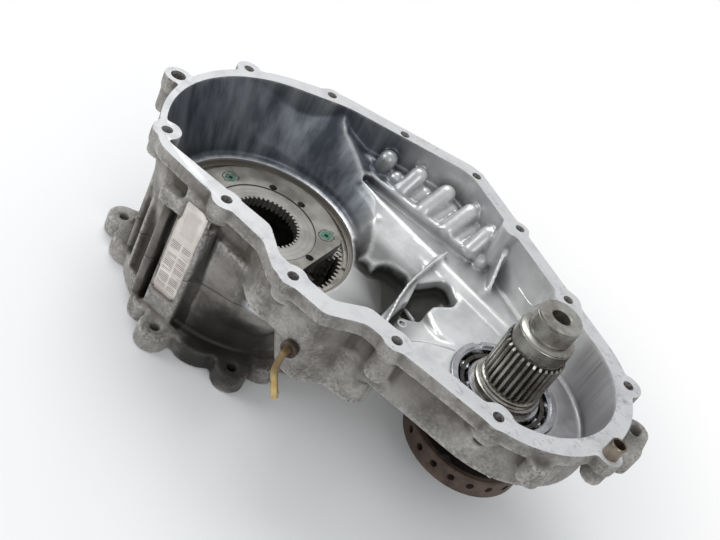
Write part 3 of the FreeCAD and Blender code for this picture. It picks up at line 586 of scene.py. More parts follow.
def innerSkin(look, x, y, blotch, wellOilAndShade):
    # smooth grey: dark down the left wall as painted shade with painted reflection streaks, painted light
    # on the bank, painted shade on the far and right walls, and black oil with painted shade in the wells
    edge, hollow = look.painted("edge"), look.painted("hollow")
    reflectionStreak = look.noise(1.6, 4, 0.6, look.mapped(scale=(30, 30, 2.2)))
    # painted shade with painted reflection streaks: the left wall dark bluish grey
    wall = look.mix(reflectionStreak.between(0.32, 0.74), (0.060, 0.068, 0.086), (0.27, 0.29, 0.32))
    # painted light: the bank and deck lit bright silver
    litBankColour = look.mix(blotch.between(0.3, 0.7), (0.60, 0.605, 0.60), (0.83, 0.835, 0.83))
    # painted shade: the right wall a darker mid grey, with the painted reflection streaks
    right = look.mix(reflectionStreak.between(0.3, 0.7), (0.30, 0.295, 0.31), (0.46, 0.45, 0.46))
    lining = look.mix(x.between(0.03, 0.075), wall, litBankColour)
    lining = look.mix(x.between(0.235, 0.275), lining, right)
    # painted shade on the far wall behind the left end
    farWallShade = y.between(0.075, 0.105) * x.between(0.02, 0.06)
    lining = look.mix(farWallShade * 0.45, lining, (0.30, 0.30, 0.31))
    # black oil with painted shade in the wells, and painted shade in the hollows
    lining = look.mix((wellOilAndShade * 0.9 + hollow * 0.35).clip(), lining, (0.016, 0.016, 0.012))
    # edge wear and a painted highlight: convex edges near white
    return look.mix(edge * 0.7, lining, (0.93, 0.935, 0.92))


def castLook():
    look = Look("castAluminium")
    m = castMarks
    x, y, z = look.split()
    inside = look.painted("inside")
    grain = look.noise(1500, 2, 0.6)
    lumps = look.noise(420, 3, 0.6)
    blotch = look.noise(38, 5, 0.62)
    fromAxis = (x * x + y * y).root()
    # black oil at the foot; black oil with painted shade in the label-pad channels
    footOilAndChannelShade = oilOutsideAndChannelShade(x, y, z, blotch)
    # the wells: old oil with painted shade
    wellOilAndShade = z.between(m["wellTop"], m["wellTop"] - 0.0085) * x.between(m["wellStart"], m["wellStart"] + 0.03)
    wellOilAndShade = wellOilAndShade * x.between(m["wellEnd"], m["wellEnd"] - 0.015)
    skin = outerSkin(look, blotch, lumps, footOilAndChannelShade)
    lining = innerSkin(look, x, y, blotch, wellOilAndShade)
    # turned steps of the lip round the gear set
    bore = fromAxis.between(m["boreRadius"], m["boreRadius"] - 0.0004)
    bore = bore * z.between(m["boreTop"], m["boreTop"] - 0.0013)
    bore = bore * z.between(m["boreLow"], m["boreLow"] + 0.002)
    lines = (fromAxis * 4200).sine().between(0.2, 0.9)
    lining = look.mix(bore, lining, (0.30, 0.275, 0.24))
    lining = look.mix(bore * lines * 0.75, lining, (0.035, 0.03, 0.026))
    colour = look.mix(inside, skin, lining)
    # the line where the two halves of the mould met
    onBarrel = fromAxis.between(m["seamInner"], m["seamInner"] + 0.004) * x.between(0.075, 0.06)
    onBarrel = onBarrel * (0 - y).between(0, 0.01)
    seam = abs(z - m["seamHigh"] - x * m["seamSlope"]).between(0.0011, 0.0002) * onBarrel * (1 - inside)
    colour = look.mix(seam * 0.75, colour, (0.05, 0.042, 0.035))
    rough = inside.between(0.2, 0.8, 0.66, 0.34) + (grain - 0.5) * 0.16
    rough = rough - footOilAndChannelShade.clip() * (1 - inside) * 0.22 + wellOilAndShade * 0.34
    metal = inside.between(0.2, 0.8, 0.25, 0.62) - wellOilAndShade * 0.6
    height = (grain * 0.35 + lumps * 0.9) * (1 - inside * 0.82) + blotch * 0.5 - seam * 1.4
    return look.finish(colour, rough, metal, look.bump(height, 0.55, 0.00045))


def machinedLook():
    look = Look("milledFace")
    edge = look.painted("edge")
    mill = look.noise(1.0, 3, 0.6, look.mapped(scale=(900, 90, 90)))
    worn = look.noise(55, 4, 0.62)
    spots = look.noise(260, 3, 0.6)
    residue = look.noise(23, 4, 0.6).between(0.60, 0.70) * spots.between(0.36, 0.6)
    colour = look.mix(worn.between(0.42, 0.72), (0.93, 0.935, 0.94), (0.76, 0.765, 0.775))
    x, y, z = look.split()
    worked = look.noise(9, 2).between(0.42, 0.6).most(x.between(0.19, 0.24))
    scuff = look.noise(1.0, 5, 0.7, look.mapped(turn=(0, 0, 0.5), scale=(85, 150, 90)), 1.6)
    colour = look.mix(scuff.between(0.55, 0.66) * worked * 0.55, colour, (0.36, 0.365, 0.38))
    colour = look.mix(residue * 0.8, colour, (0.24, 0.25, 0.27))
    colour = look.mix(spots.between(0.68, 0.76) * 0.75, colour, (0.09, 0.09, 0.09))
    colour = look.mix(edge.between(0.35, 0.9) * 0.35, colour, (0.16, 0.16, 0.165))
    height = mill * 0.4 + residue * 1.2 + spots * 0.4
    return look.finish(colour, worn.between(0.3, 0.7, 0.36, 0.52), 0.18, look.bump(height, 0.25, 0.0002))


case = makeCase()
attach(case, "case")
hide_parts("front_case")
print("case made")


def steelLook(name, light, dark, rough=0.32, metal=0.92, centre=(0, 0), rings=5200, film=0.25,
              filmColour=(0.10, 0.07, 0.045), valley=None):
    # turned steel: fine rings about its own axis under an uneven oil film
    look = Look(name)
    x, y, z = look.split()
    x, y = x - centre[0], y - centre[1]
    radius = (x * x + y * y).root()
    turning = (radius * rings + z * rings * 0.8 + look.noise(160, 2) * 3).sine()
    cloud = look.noise(70, 4, 0.6)
    oily = look.noise(34, 4, 0.62)
    speck = look.noise(900, 2)
    colour = look.mix(cloud.between(0.3, 0.7), dark, light)
    colour = look.mix(oily.between(0.48, 0.72) * film, colour, filmColour)
    if valley:   # near black between the teeth: its radius, and the heights where it starts and ends
        reach, start, end = valley
        valleyMask = radius.between(reach + 0.0009, reach + 0.0002) * z.between(start, start + 0.001)
        valleyMask = valleyMask * z.between(end, end - 0.001)
        colour = look.mix(valleyMask * 0.92, colour, (0.018, 0.015, 0.012))
    finish = cloud.between(0.3, 0.7, rough - 0.06, rough + 0.08) + (speck - 0.5) * 0.1
    height = turning * 0.25 + speck * 0.5
    return look.finish(colour, finish, metal, look.bump(height, 0.22, 0.00015))


def smoothPart(node, material, degrees=32):
    # the CAD part's own shape, its curved faces shaded smooth
    mesh = mergedCopy(node)
    smoothEdges(mesh, degrees)
    words = node.split("_")
    name = words[0] + "".join(w.capitalize() for w in words[1:])
    return addPiece(name, mesh, bodyOf[node], material, (node,))


def roundPattern(name):
    # geometry nodes: copies of the input set evenly round an upright axis
    tree = bpy.data.node_groups.new(name, "GeometryNodeTree")
    inputs = {"Geometry": "Geometry", "Count": "Int", "Centre": "Vector", "Start Angle": "Float",
              "Unevenness": "Float", "Finish": "Material"}
    for title, kind in inputs.items():
        tree.interface.new_socket(title, in_out="INPUT", socket_type="NodeSocket" + kind)
    tree.interface.new_socket("Geometry", in_out="OUTPUT", socket_type="NodeSocketGeometry")
    add, join = tree.nodes.new, tree.links.new
    start, end = add("NodeGroupInput"), add("NodeGroupOutput")
    spots, index = add("GeometryNodePoints"), add("GeometryNodeInputIndex")
    share, turn, wobble = add("ShaderNodeMath"), add("ShaderNodeMath"), add("FunctionNodeRandomValue")
    share.operation, turn.operation = "DIVIDE", "MULTIPLY_ADD"
    join(index.outputs[0], share.inputs[0])
    join(start.outputs["Count"], share.inputs[1])
    join(share.outputs[0], turn.inputs[0])
    turn.inputs[1].default_value = 2 * math.pi
    join(start.outputs["Start Angle"], turn.inputs[2])
    wobble.data_type = "FLOAT"
    wobble.inputs["Seed"].default_value = 7
    spread, whole = add("ShaderNodeMath"), add("ShaderNodeMath")
    spread.operation, whole.operation = "MULTIPLY", "ADD"
    wobble.inputs[2].default_value, wobble.inputs[3].default_value = -1.0, 1.0
    join(wobble.outputs[1], spread.inputs[0])
    join(start.outputs["Unevenness"], spread.inputs[1])
    join(turn.outputs[0], whole.inputs[0])
    join(spread.outputs[0], whole.inputs[1])
    angle, copies = add("ShaderNodeCombineXYZ"), add("GeometryNodeInstanceOnPoints")
    join(whole.outputs[0], angle.inputs[2])
    join(start.outputs["Count"], spots.inputs["Count"])
    join(start.outputs["Centre"], spots.inputs["Position"])
    join(spots.outputs[0], copies.inputs["Points"])
    join(start.outputs["Geometry"], copies.inputs["Instance"])
    join(angle.outputs[0], copies.inputs["Rotation"])
    real, paint = add("GeometryNodeRealizeInstances"), add("GeometryNodeSetMaterial")
    join(copies.outputs[0], real.inputs[0])
    join(real.outputs[0], paint.inputs[0])
    join(start.outputs["Finish"], paint.inputs["Material"])
    join(paint.outputs[0], end.inputs[0])
    return tree


ringPattern = roundPattern("ringPattern")


def ringOf(name, item, count, centre, start, material, uneven=0.0):
    piece = bpy.data.objects.new(name, item)
    bpy.context.scene.collection.objects.link(piece)
    pattern = piece.modifiers.new("pattern", "NODES")
    pattern.node_group = ringPattern
    values = {"Count": count, "Centre": (centre[0], centre[1], 0.0), "Start Angle": start,
              "Unevenness": uneven, "Finish": material}
    for socket in ringPattern.interface.items_tree:
        if socket.in_out == "INPUT" and socket.name in values:
            pattern[socket.identifier] = values[socket.name]
    mesh = applied(piece, name)
    bpy.data.objects.remove(piece)
    mesh.materials.clear()
    mesh.materials.append(material)
    return mesh


def mergedMeshes(name, meshes, degrees=30):
    # several meshes as one
    bm = bmesh.new()
    for mesh in meshes:
        bm.from_mesh(mesh)
    made = bpy.data.meshes.new(name)
    bm.to_mesh(made)
    bm.free()
    smoothEdges(made, degrees)
    return made


shaft = {
    "nose": 0.0170, "noseTop": 0.1798, "band": 0.0219, "bandLow": 0.1494, "bandTop": 0.1620,
    "root": 0.0220, "tip": 0.0240, "splineLow": 0.1100, "collar": 0.0244, "shoulder": 0.0270,
    "shoulderTop": 0.1050, "seat": 0.0225, "seatLow": 0.0797, "bearingTop": 0.0987,
    "hub": 0.0170, "thread": 0.0120, "threadEnd": 0.0220, "hubLow": 0.0353,
    "holeRadius": 0.0072, "holeDeep": 0.024, "teeth": 30, "toothFoot": 0.0033, "toothTip": 0.0019,
}


def shaftLine():
    # the turned line, part by part from the threaded end up to the nose
    s = shaft
    top, bore, mouth = s["noseTop"], s["holeRadius"], s["holeRadius"] + 0.0013
    thread, hub, seat, shoulder = s["thread"], s["hub"], s["seat"], s["shoulder"]
    collar, root, band, nose = s["collar"], s["root"], s["band"], s["nose"]
    step, low, edge, end = s["shoulderTop"], s["splineLow"], s["bandLow"], s["bandTop"]
    return [(0, s["threadEnd"]), (thread - 0.001, s["threadEnd"]), (thread, s["threadEnd"] + 0.001),
            (thread, s["hubLow"]), (hub, s["hubLow"]), (hub, s["seatLow"]),
            (seat, s["seatLow"]), (seat, s["bearingTop"]), (shoulder, s["bearingTop"] + 0.0001),
            (shoulder, step - 0.0004), (shoulder - 0.0006, step),
            (collar + 0.0002, step + 0.0002), (collar - 0.0009, step + 0.0012),
            (collar - 0.0009, step + 0.0022), (collar, step + 0.0028),
            (collar, low - 0.0012), (collar - 0.0006, low - 0.0006),
            (root, low), (root, edge - 0.0022), (band - 0.0012, edge - 0.0012),
            (band - 0.0010, edge), (band, edge + 0.0004), (band, end - 0.0022),
            (band - 0.0003, end - 0.0018), (band - 0.0003, end - 0.0008),
            (band - 0.0014, end), (nose + 0.0012, end + 0.0006),
            (nose + 0.0002, end + 0.0008), (nose - 0.0011, end + 0.0010),
            (nose - 0.0011, end + 0.0022), (nose, end + 0.0028),
            (nose, top - 0.0034), (nose - 0.0004, top - 0.0032), (nose - 0.0004, top - 0.0027),
            (nose, top - 0.0024), (nose, top - 0.0011), (nose - 0.0011, top),
            (mouth, top), (bore, top - 0.0013), (bore, top - s["holeDeep"]),
            (0, top - s["holeDeep"] - 0.003)]


def makeShaft(material):
    s = shaft
    body = latheMesh("shaftTurned", shaftLine(), 128, outputAxis, closed=False)
    low, high = s["splineLow"] + 0.0004, s["bandLow"] - 0.0016
    wide, narrow = s["toothFoot"] / 2, s["toothTip"] / 2
    inner = s["root"] - 0.0004
    sections = [(low, s["root"] + 0.0004), (low + 0.0016, s["tip"]), (high - 0.0022, s["tip"]),
                (high, s["root"] + 0.0003)]
    corners = []
    for z, tip in sections:
        corners += [(inner, -wide, z), (tip, -narrow, z), (tip, narrow, z), (inner, wide, z)]
    sides = [(3, 2, 1, 0), (12, 13, 14, 15)]
    for step in range(3):
        k = step * 4
        sides += [(k + a, k + (a + 1) % 4, k + 4 + (a + 1) % 4, k + 4 + a) for a in range(4)]
    tooth = meshFrom("splineTooth", corners, sides)
    teeth = ringOf("splineTeeth", tooth, s["teeth"], outputAxis, 0.0, material)
    return addPiece("outputShaft", mergedMeshes("outputShaft", [body, teeth]), "output", material,
                    ("front_output_shaft",))


shaftSteel = steelLook("shaftSteel", (0.52, 0.51, 0.47), (0.33, 0.315, 0.28), 0.28, 0.9, outputAxis,
                       5200, 0.5, (0.12, 0.085, 0.058), (shaft["root"], shaft["splineLow"], 0.1485))
makeShaft(shaftSteel)
print("shaft made")


bearing = {
    "low": 0.0797, "wide": 0.0190, "outer": 0.0425, "outerWall": 0.0046, "bore": 0.0225,
    "innerWall": 0.0072, "ball": 0.00595, "balls": 10,
    "rivet": [(0, 0), (0.0011, 0), (0.0011, 0.0004), (0.0006, 0.0009), (0, 0.001)],
}


def raceMesh(name, inside, outside, low, high, centre, groove, grooveOn):
    # a ring with softened corners and the balls' groove turned in one side
    c, deep = 0.0006, 0.0016
    middle = (low + high) / 2
    arc = []
    half, steps = math.radians(50), 8
    for k in range(steps + 1):
        turn = half * (2 * k / steps - 1)
        arc.append((groove * (math.cos(turn) - math.cos(half)), middle + groove * math.sin(turn)))
    if grooveOn == "inside":
        wall = [(inside, low + c)] + [(inside + min(a, deep), z) for a, z in arc] + [(inside, high - c)]
        line = wall + [(inside + c, high), (outside - c, high), (outside, high - c), (outside, low + c),
                       (outside - c, low), (inside + c, low)]
    else:
        wall = [(outside, high - c)] + [(outside - min(a, deep), z) for a, z in reversed(arc)]
        wall += [(outside, low + c)]
        line = [(inside, low + c), (inside, high - c), (inside + c, high), (outside - c, high)] + wall + [
            (outside - c, low), (inside + c, low)]
    return latheMesh(name, line, 128, centre)


def ballMesh(radius, reach, height):
    bm = bmesh.new()
    bmesh.ops.create_uvsphere(bm, u_segments=20, v_segments=12, radius=radius,
                              matrix=Matrix.Translation((reach, 0, height)))
    mesh = bpy.data.meshes.new("ball")
    bm.to_mesh(mesh)
    bm.free()
    return mesh


raceSteel = steelLook("raceSteel", (0.62, 0.625, 0.64), (0.42, 0.42, 0.44), 0.22, 0.95, outputAxis,
                      6000, 0.15)
ballSteel = steelLook("ballSteel", (0.80, 0.81, 0.83), (0.60, 0.61, 0.64), 0.10, 1.0, outputAxis, 900, 0.1)
cageSteel = steelLook("cageSteel", (0.14, 0.13, 0.12), (0.05, 0.045, 0.04), 0.38, 0.75, outputAxis,
                      2000, 0.5, (0.02, 0.016, 0.012))


def makeBearing():
    b = bearing
    low, high = b["low"], b["low"] + b["wide"]
    turningBody = bodyOf["output_bearing_balls"]
    races = [("outer", b["outer"] - b["outerWall"], b["outer"], "inside"),
             ("inner", b["bore"], b["bore"] + b["innerWall"], "outside")]
    for which, inside, outside, grooveOn in races:
        race = raceMesh(which + "Race", inside, outside, low, high, outputAxis, b["ball"], grooveOn)
        node = "output_bearing_" + which
        addPiece(which + "Race", race, bodyOf[node], raceSteel, (node,))
    lowBox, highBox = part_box("output_bearing_balls")
    pitch = (highBox.x - lowBox.x) / 2 - b["ball"]
    ball = ballMesh(b["ball"], pitch, (low + high) / 2)
    balls = ringOf("bearingBalls", ball, b["balls"], outputAxis, 0.0, ballSteel)
    balls.shade_smooth()
    addPiece("bearingBalls", balls, turningBody, ballSteel, ("output_bearing_balls",))
    smoothPart("output_bearing_cage", cageSteel)
    rivet = latheMesh("rivet", b["rivet"], 12, closed=False)
    rivet.transform(Matrix.Translation((pitch, 0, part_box("output_bearing_cage")[1].z - 0.0002)))
    rivets = ringOf("cageRivets", rivet, b["balls"], outputAxis, math.pi / b["balls"], cageSteel)
    rivets.shade_smooth()
    addPiece("cageRivets", rivets, turningBody, cageSteel)
    smoothPart("output_snap_ring", raceSteel)


makeBearing()
print("output bearing made")


carrierPlate = {
    "pins": [(0.0392924, 0.0363844), (-0.051156, 0.0158355), (0.0118636, -0.0522199)],
    "paint": (0.045, 0.20, 0.135), "marker": (0.012, 0.020, 0.020),
    "blobRadius": 0.0068, "outerLine": 0.0078, "innerLine": 0.0042,
    "dishRadius": 0.0438, "rustFrom": 0.0285, "faceHigh": 0.0762,
}


def plateLook():
    look = Look("carrierPlateSteel")
    p = carrierPlate
    x, y, z = look.split()
    radius = (x * x + y * y).root()
    cloud = look.noise(60, 4, 0.6)
    speck = look.noise(1000, 2)
    turning = (radius * 5600 + look.noise(180, 2) * 2).sine()
    colour = look.mix(cloud.between(0.3, 0.7), (0.27, 0.255, 0.225), (0.43, 0.415, 0.38))
    dish = radius.between(p["dishRadius"] - 0.0002, p["dishRadius"] + 0.0002)
    colour = look.mix((1 - dish) * 0.4, colour, (0.50, 0.49, 0.48))
    bands = (radius * 1500).sine() * 0.5 + 0.5
    colour = look.mix(bands * (1 - dish) * 0.18, colour, (0.16, 0.15, 0.14))
    line = abs(radius - p["dishRadius"]).between(0.0005, 0.0001)
    colour = look.mix(line * 0.85, colour, (0.02, 0.018, 0.015))
    rust = look.noise(120, 3).between(0.62, 0.74) * radius.between(p["rustFrom"] + 0.0015, p["rustFrom"])
    colour = look.mix(rust * 0.6, colour, (0.13, 0.075, 0.04))
    wobble = look.noise(170, 3, 0.6)
    green, ink = 0.0, 0.0
    for px, py in p["pins"]:
        away = ((x - px) * (x - px) * 1.5 + (y - py) * (y - py)).root() + (wobble - 0.5) * 0.006
        blob = away.between(p["blobRadius"], p["blobRadius"] - 0.0016)
        outerLine = abs(away - p["outerLine"]).between(0.0009, 0.0003)
        innerLine = abs(away - p["innerLine"]).between(0.0007, 0.0002)
        green = (blob * look.noise(330, 2).between(0.34, 0.46)).most(green)
        ink = (outerLine * look.noise(110, 2).between(0.42, 0.50)).most(ink)
        ink = (innerLine * look.noise(140, 2).between(0.45, 0.55)).most(ink)
    top = z.between(p["faceHigh"] - 0.0007, p["faceHigh"])
    colour = look.mix(green * top * 0.92, colour, p["paint"])
    colour = look.mix(ink * top * 0.9, colour, p["marker"])
    coated = (green + ink).clip() * top
    rough = cloud.between(0.3, 0.7, 0.34, 0.48) + coated * 0.1
    height = turning * 0.2 + speck * 0.5 + green * 2
    return look.finish(colour, rough, 0.82 - coated * 0.75, look.bump(height, 0.22, 0.0002))


def makeGearSet():
    gearSteel = steelLook("gearSteel", (0.46, 0.44, 0.40), (0.26, 0.245, 0.215), 0.34, 0.88, film=0.3)
    # near-black oiled steel; on the input gear it also stands as painted shade down the deep bore
    darkSteel = steelLook("oiledAndShadedSteel", (0.12, 0.11, 0.10), (0.04, 0.036, 0.032), 0.30, 0.85, (0, 0),
                          4200, 0.6, (0.015, 0.012, 0.008))
    toothSteel = steelLook("toothSteel", (0.60, 0.59, 0.57), (0.30, 0.29, 0.27), 0.24, 0.92, (0, 0),
                           2600, 0.35, (0.04, 0.035, 0.025))
    plate = plateLook()
    smoothPart("carrier_front_plate", plate)
    smoothPart("planet_carrier", darkSteel)
    smoothPart("planet_pins", plate)
    smoothPart("planet_washers", darkSteel)
    for letter in "abc":
        smoothPart("planet_gear_" + letter, toothSteel, 28)
    smoothPart("input_gear", darkSteel, 28)
    smoothPart("annulus_gear", gearSteel, 28)
    smoothPart("annulus_snap_ring", gearSteel)


makeGearSet()
print("gear set made")


def drumLook():
    look = Look("rustyIron")
    x, y, z = look.split()
    cloud = look.noise(40, 5, 0.65)
    grit = look.noise(700, 3, 0.65)
    scale = look.cells(420)
    colour = look.mix(cloud.between(0.3, 0.7), (0.040, 0.026, 0.020), (0.135, 0.092, 0.070))
    colour = look.mix(grit.between(0.5, 0.75) * 0.5, colour, (0.19, 0.115, 0.075))
    colour = look.mix(look.noise(18, 3).between(0.55, 0.7) * 0.6, colour, (0.018, 0.015, 0.014))
    x, y = x - outputAxis[0], y - outputAxis[1]
    # painted shade: the flange top near the shaft near black, where the housing shades it
    hub = (x * x + y * y).root().between(0.046, 0.042)
    colour = look.mix(hub * 0.8, colour, (0.014, 0.012, 0.012))
    rough = grit.between(0.3, 0.7, 0.5, 0.72)
    return look.finish(colour, rough, 0.35, look.bump(grit + scale * 0.6, 0.5, 0.0004))


def rubberLook():
    look = Look("sealRubber")
    grain = look.noise(800, 3)
    colour = look.mix(look.noise(60, 3), (0.010, 0.010, 0.010), (0.030, 0.028, 0.026))
    return look.finish(colour, grain.between(0.3, 0.7, 0.45, 0.62), 0.0, look.bump(grain, 0.2, 0.0002))


def magnetLook():
    look = Look("magnetCeramic")
    grain = look.noise(700, 3)
    fuzz = look.noise(90, 4).between(0.5, 0.7)
    colour = look.mix(fuzz, (0.035, 0.035, 0.036), (0.10, 0.095, 0.085))
    return look.finish(colour, grain.between(0.3, 0.7, 0.5, 0.7), 0.1, look.bump(grain + fuzz, 0.4, 0.0003))


def makeOutputEnd():
    iron, rubber = drumLook(), rubberLook()
    smoothPart("output_flange", iron)
    smoothPart("flange_washer", shaftSteel)
    smoothPart("flange_nut", shaftSteel, 25)
    smoothPart("output_seal", rubber)
    smoothPart("input_seal", rubber)
    smoothPart("oil_magnet", magnetLook())


makeOutputEnd()
print("output end made")


def makeInputEnd():
    zincSteel = steelLook("zincSteel", (0.42, 0.41, 0.38), (0.24, 0.23, 0.20), 0.36, 0.85, (0, 0),
                          4200, 0.4)
    smoothPart("input_retainer", zincSteel)
    smoothPart("input_bearing_outer", raceSteel)
    smoothPart("input_bearing_inner", raceSteel)
    smoothPart("input_bearing_balls", ballSteel, 60)
    smoothPart("input_bearing_cage", cageSteel)
    smoothPart("retainer_screws", zincSteel)


makeInputEnd()
print("input end made")


sleeve = {"place": (0.310, -0.041), "outer": 0.0060, "inner": 0.0045, "top": 0.1555, "low": 0.1315}


def makeSleeve():
    s = sleeve
    inner, outer, low, top = s["inner"], s["outer"], s["low"], s["top"]
    line = [(inner, low + 0.0005), (inner, top - 0.0006), (inner + 0.0005, top), (outer - 0.0007, top),
            (outer, top - 0.0009), (outer, low + 0.0008), (outer - 0.0007, low), (inner + 0.0004, low)]
    steel = steelLook("sleeveSteel", (0.36, 0.31, 0.25), (0.20, 0.165, 0.13), 0.36, 0.85, s["place"],
                      5200, 0.5)
    addPiece("dowelSleeve", latheMesh("dowelSleeve", line, 64, s["place"]), "case", steel,
             ("dowel_sleeve",))


makeSleeve()


def rodAlong(name, route, thick):
    # a round bar along a smooth line, its ends closed
    curve = bpy.data.curves.new(name, "CURVE")
    curve.dimensions, curve.bevel_depth, curve.bevel_resolution, curve.use_fill_caps = "3D", thick, 3, True
    line = curve.splines.new("NURBS")
    line.points.add(len(route) - 1)
    for point, place in zip(line.points, route):
        point.co = (*place, 1)
    line.order_u, line.use_endpoint_u, line.resolution_u = 3, True, 10
    holder = bpy.data.objects.new(name, curve)
    bpy.context.scene.collection.objects.link(holder)
    graph = bpy.context.evaluated_depsgraph_get()
    mesh = bpy.data.meshes.new_from_object(holder.evaluated_get(graph))
    mesh.name = name
    bpy.data.objects.remove(holder)
    mesh.shade_smooth()
    return mesh


vent = {
    "centre": (0.101, 0.093),
    "route": [(0.101, -0.1080, 0.093), (0.101, -0.1130, 0.093), (0.101, -0.1176, 0.0926),
              (0.101, -0.1185, 0.0890), (0.1011, -0.1185, 0.0820), (0.1018, -0.1185, 0.0750),
              (0.1050, -0.1185, 0.0690), (0.1112, -0.1185, 0.0565)],
    "thick": 0.0027, "bead": 0.00315, "end": (0.1115, -0.1185, 0.0560), "way": (0.4472, 0.0, -0.8944),
    "rings": [0.0052, 0.0062],
}


def brassLook():
    look = Look("ventBrass")
    x, y, z = look.split()
    cloud = look.noise(90, 4)
    colour = look.mix(cloud.between(0.3, 0.7), (0.48, 0.34, 0.13), (0.66, 0.50, 0.24))
    grime = (look.noise(55, 4).between(0.5, 0.68) + z.between(0.068, 0.082)).clip()
    colour = look.mix(grime * 0.72, colour, (0.085, 0.055, 0.03))
    return look.finish(colour, cloud.between(0.3, 0.7, 0.26, 0.42) + grime * 0.15, 0.9 - grime * 0.3,
                       look.bump(look.noise(600, 3), 0.2, 0.0002))


def makeVent():
    fittingSteel = steelLook("ventBase", (0.13, 0.10, 0.075), (0.05, 0.038, 0.03), 0.42, 0.6, (0, 0),
                             2000, 0.5, (0.02, 0.016, 0.012))
    smoothPart("vent_fitting", fittingSteel, 30)
    tube = rodAlong("ventPipe", vent["route"], vent["thick"])
    t, b = vent["thick"], vent["bead"]
    line = [(0, -0.012), (t, -0.012), (t, -0.0062), (b, -0.0046), (b, -0.0038), (t, -0.0026), (t, -0.0004),
            (t - 0.0004, 0), (t - 0.0009, 0), (t - 0.0009, -0.007), (0, -0.007)]
    nose = latheMesh("hoseEnd", line, 32, closed=False)
    turn = Vector(vent["way"]).to_track_quat("Z", "Y").to_matrix().to_4x4()
    nose.transform(Matrix.Translation(vent["end"]) @ turn)
    pipe = mergedMeshes("ventTube", [tube, nose], 40)
    addPiece("ventTube", pipe, "case", brassLook(), ("vent_tube",))
    x, z = vent["centre"]
    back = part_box("vent_fitting")[0].y
    for count, reach in enumerate(vent["rings"]):
        line = [(reach - 0.0006, 0), (reach - 0.0005, 0.0009), (reach, 0.0013), (reach + 0.0005, 0.0009),
                (reach + 0.0006, 0)]
        ring = latheMesh("ventRing", line, 48)
        place = Matrix.Translation((x, back + 0.0006 * count + 0.0009, z))
        ring.transform(place @ Matrix.Rotation(math.pi / 2, 4, "X"))
        addPiece("ventRing" + "AB"[count], ring, "case", fittingSteel)


makeVent()
print("sleeve and vent made")


def labelLook():
    look = Look("labelPaper")
    x, y, z = look.split()
    low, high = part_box("label_plate")
    across = (x - low.x) / (high.x - low.x)
    along = (z - low.z) / (high.z - low.z)
    fade = look.noise(60, 4)
    colour = look.mix(fade.between(0.3, 0.7), (0.62, 0.57, 0.52), (0.80, 0.755, 0.70))
    columns = across.between(0.08, 0.1) * across.between(0.92, 0.90)
    split = 1 - abs(across - 0.52).between(0.045, 0.03)
    breaks = look.noise(1.0, 1, 0.5, look.mapped(scale=(40, 1, 420))).between(0.42, 0.5)
    fine = (along * 330).sine().between(-0.1, 0.3) * breaks
    block = along.between(0.06, 0.075) * along.between(0.60, 0.585)
    panel = along.between(0.66, 0.67) * along.between(0.93, 0.92) * abs(across - 0.5).between(0.30, 0.27)
    small = (along * 620).sine().between(0.3, 0.6) * panel * 0.6
    ink = (fine * block * columns * split + small).clip()
    colour = look.mix(ink * 0.82, colour, (0.13, 0.10, 0.09))
    rim = along.between(0.10, 0.0) + across.between(0.12, 0.0) * 0.5
    dirt = (look.noise(34, 4).between(0.5, 0.7) * 0.5 + rim).clip()
    colour = look.mix(dirt * 0.6, colour, (0.20, 0.15, 0.11))
    rough = fade.between(0.3, 0.7, 0.45, 0.62)
    return look.finish(colour, rough, 0.0, look.bump(look.noise(300, 3), 0.15, 0.0002))


def makeLabel():
    # a thin plate with rounded corners, a little buckled
    low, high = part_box("label_plate")
    wide, tall = 10, 36
    size = high - low
    bm = bmesh.new()
    rows = []
    for j in range(tall + 1):
        row = []
        for i in range(wide + 1):
            u, w = i / wide, j / tall
            buckle = 0.00012 * math.sin(9 * w + 2 * u) + 0.0001
            row.append(bm.verts.new((low.x + size.x * u, low.y + 0.00022 + buckle, low.z + size.z * w)))
        rows.append(row)
    for j in range(tall):
        for i in range(wide):
            if (i in (0, wide - 1)) and (j in (0, tall - 1)):
                continue
            bm.faces.new((rows[j][i], rows[j][i + 1], rows[j + 1][i + 1], rows[j + 1][i]))
    loose = [v for v in bm.verts if not v.link_faces]
    bmesh.ops.delete(bm, geom=loose, context="VERTS")
    mesh = bpy.data.meshes.new("labelPlate")
    bm.to_mesh(mesh)
    bm.free()
    piece = addPiece("labelPlate", mesh, "case", labelLook(), ("label_plate",))
    wall = piece.modifiers.new("wall", "SOLIDIFY")
    wall.thickness, wall.offset = 0.00035, 0.0
    smoothEdges(mesh, 50)


makeLabel()
print("label made")


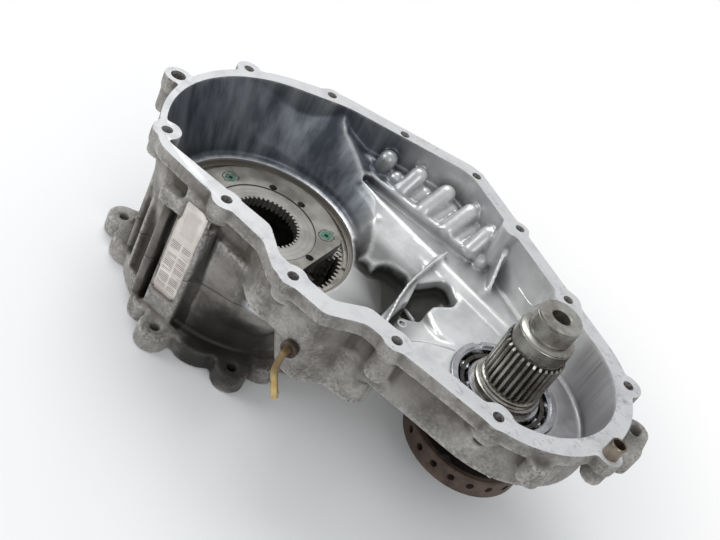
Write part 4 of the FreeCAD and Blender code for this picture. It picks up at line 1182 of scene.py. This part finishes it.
trims = {
    "wire": [(0.1868, 0.0946, 0.1158), (0.1930, 0.0912, 0.1156), (0.2000, 0.0874, 0.1156),
             (0.2042, 0.0852, 0.1162), (0.2066, 0.0838, 0.1186), (0.2076, 0.0832, 0.1234)],
    "wireThick": 0.00065,
    "gutter": [(0.1545, -0.0180, 0.0922), (0.1580, -0.0140, 0.0930), (0.1640, -0.0095, 0.0942),
               (0.1700, -0.0062, 0.0954), (0.1760, -0.0036, 0.0967), (0.1830, -0.0008, 0.0981)],
    "gutterThick": 0.0009,
    "toe": [(0.1300, 0.0170, 0.0835), (0.1345, 0.0122, 0.0868), (0.1385, 0.0082, 0.0888),
            (0.1432, 0.0046, 0.0902)],
    "toeThick": 0.0016,
    "drain": (0.1393, -0.0061), "drainHigh": 0.0904,
}


def makeTrims():
    t = trims
    # painted highlight: a near-white rod stands for the bright top edge of a small step wall
    stepHighlightSteel = steelLook("stepHighlightSteel", (0.86, 0.86, 0.85), (0.62, 0.62, 0.62), 0.25, 0.7, (0, 0), 900, 0.1)
    # painted highlights: near-white rods and a ring stand for bright lines along cast edges
    highlightEdge = steelLook("highlightEdge", (0.88, 0.885, 0.87), (0.60, 0.60, 0.59), 0.34, 0.45, (0, 0), 600, 0.15)
    # painted shade: near-black steel for the lens that fills the drain hole
    dark = steelLook("holeShadeSteel", (0.03, 0.03, 0.028), (0.012, 0.012, 0.01), 0.4, 0.3, (0, 0),
                     600, 0.3, (0.01, 0.01, 0.008))
    bars = [("stepHighlightRod", "wire", stepHighlightSteel, "shaft_steel"),
            ("gutterEdge", "gutter", highlightEdge, "case_aluminium"),
            ("webToe", "toe", highlightEdge, "case_aluminium")]
    for name, route, material, slot in bars:
        addPiece(name, rodAlong(name, t[route], t[route + "Thick"]), "case", material)
    high = t["drainHigh"]
    mouth = [(0.0027, high - 0.004), (0.0027, high - 0.0004), (0.0031, high), (0.0036, high),
             (0.0042, high - 0.0006), (0.0042, high - 0.004)]
    addPiece("drainMouth", latheMesh("drainMouth", mouth, 40, t["drain"]), "case", highlightEdge)
    holeShadeLens = [(0, high - 0.0016), (0.0026, high - 0.0012), (0.0027, high - 0.004), (0, high - 0.0045)]
    addPiece("drainHoleShade", latheMesh("drainHoleShade", holeShadeLens, 32, t["drain"], closed=False), "case", dark)


makeTrims()
print("small trims made")

for name, part in nodes.items():
    if not part.hide_render and len(part.data.materials):
        print("still the CAD part:", name)
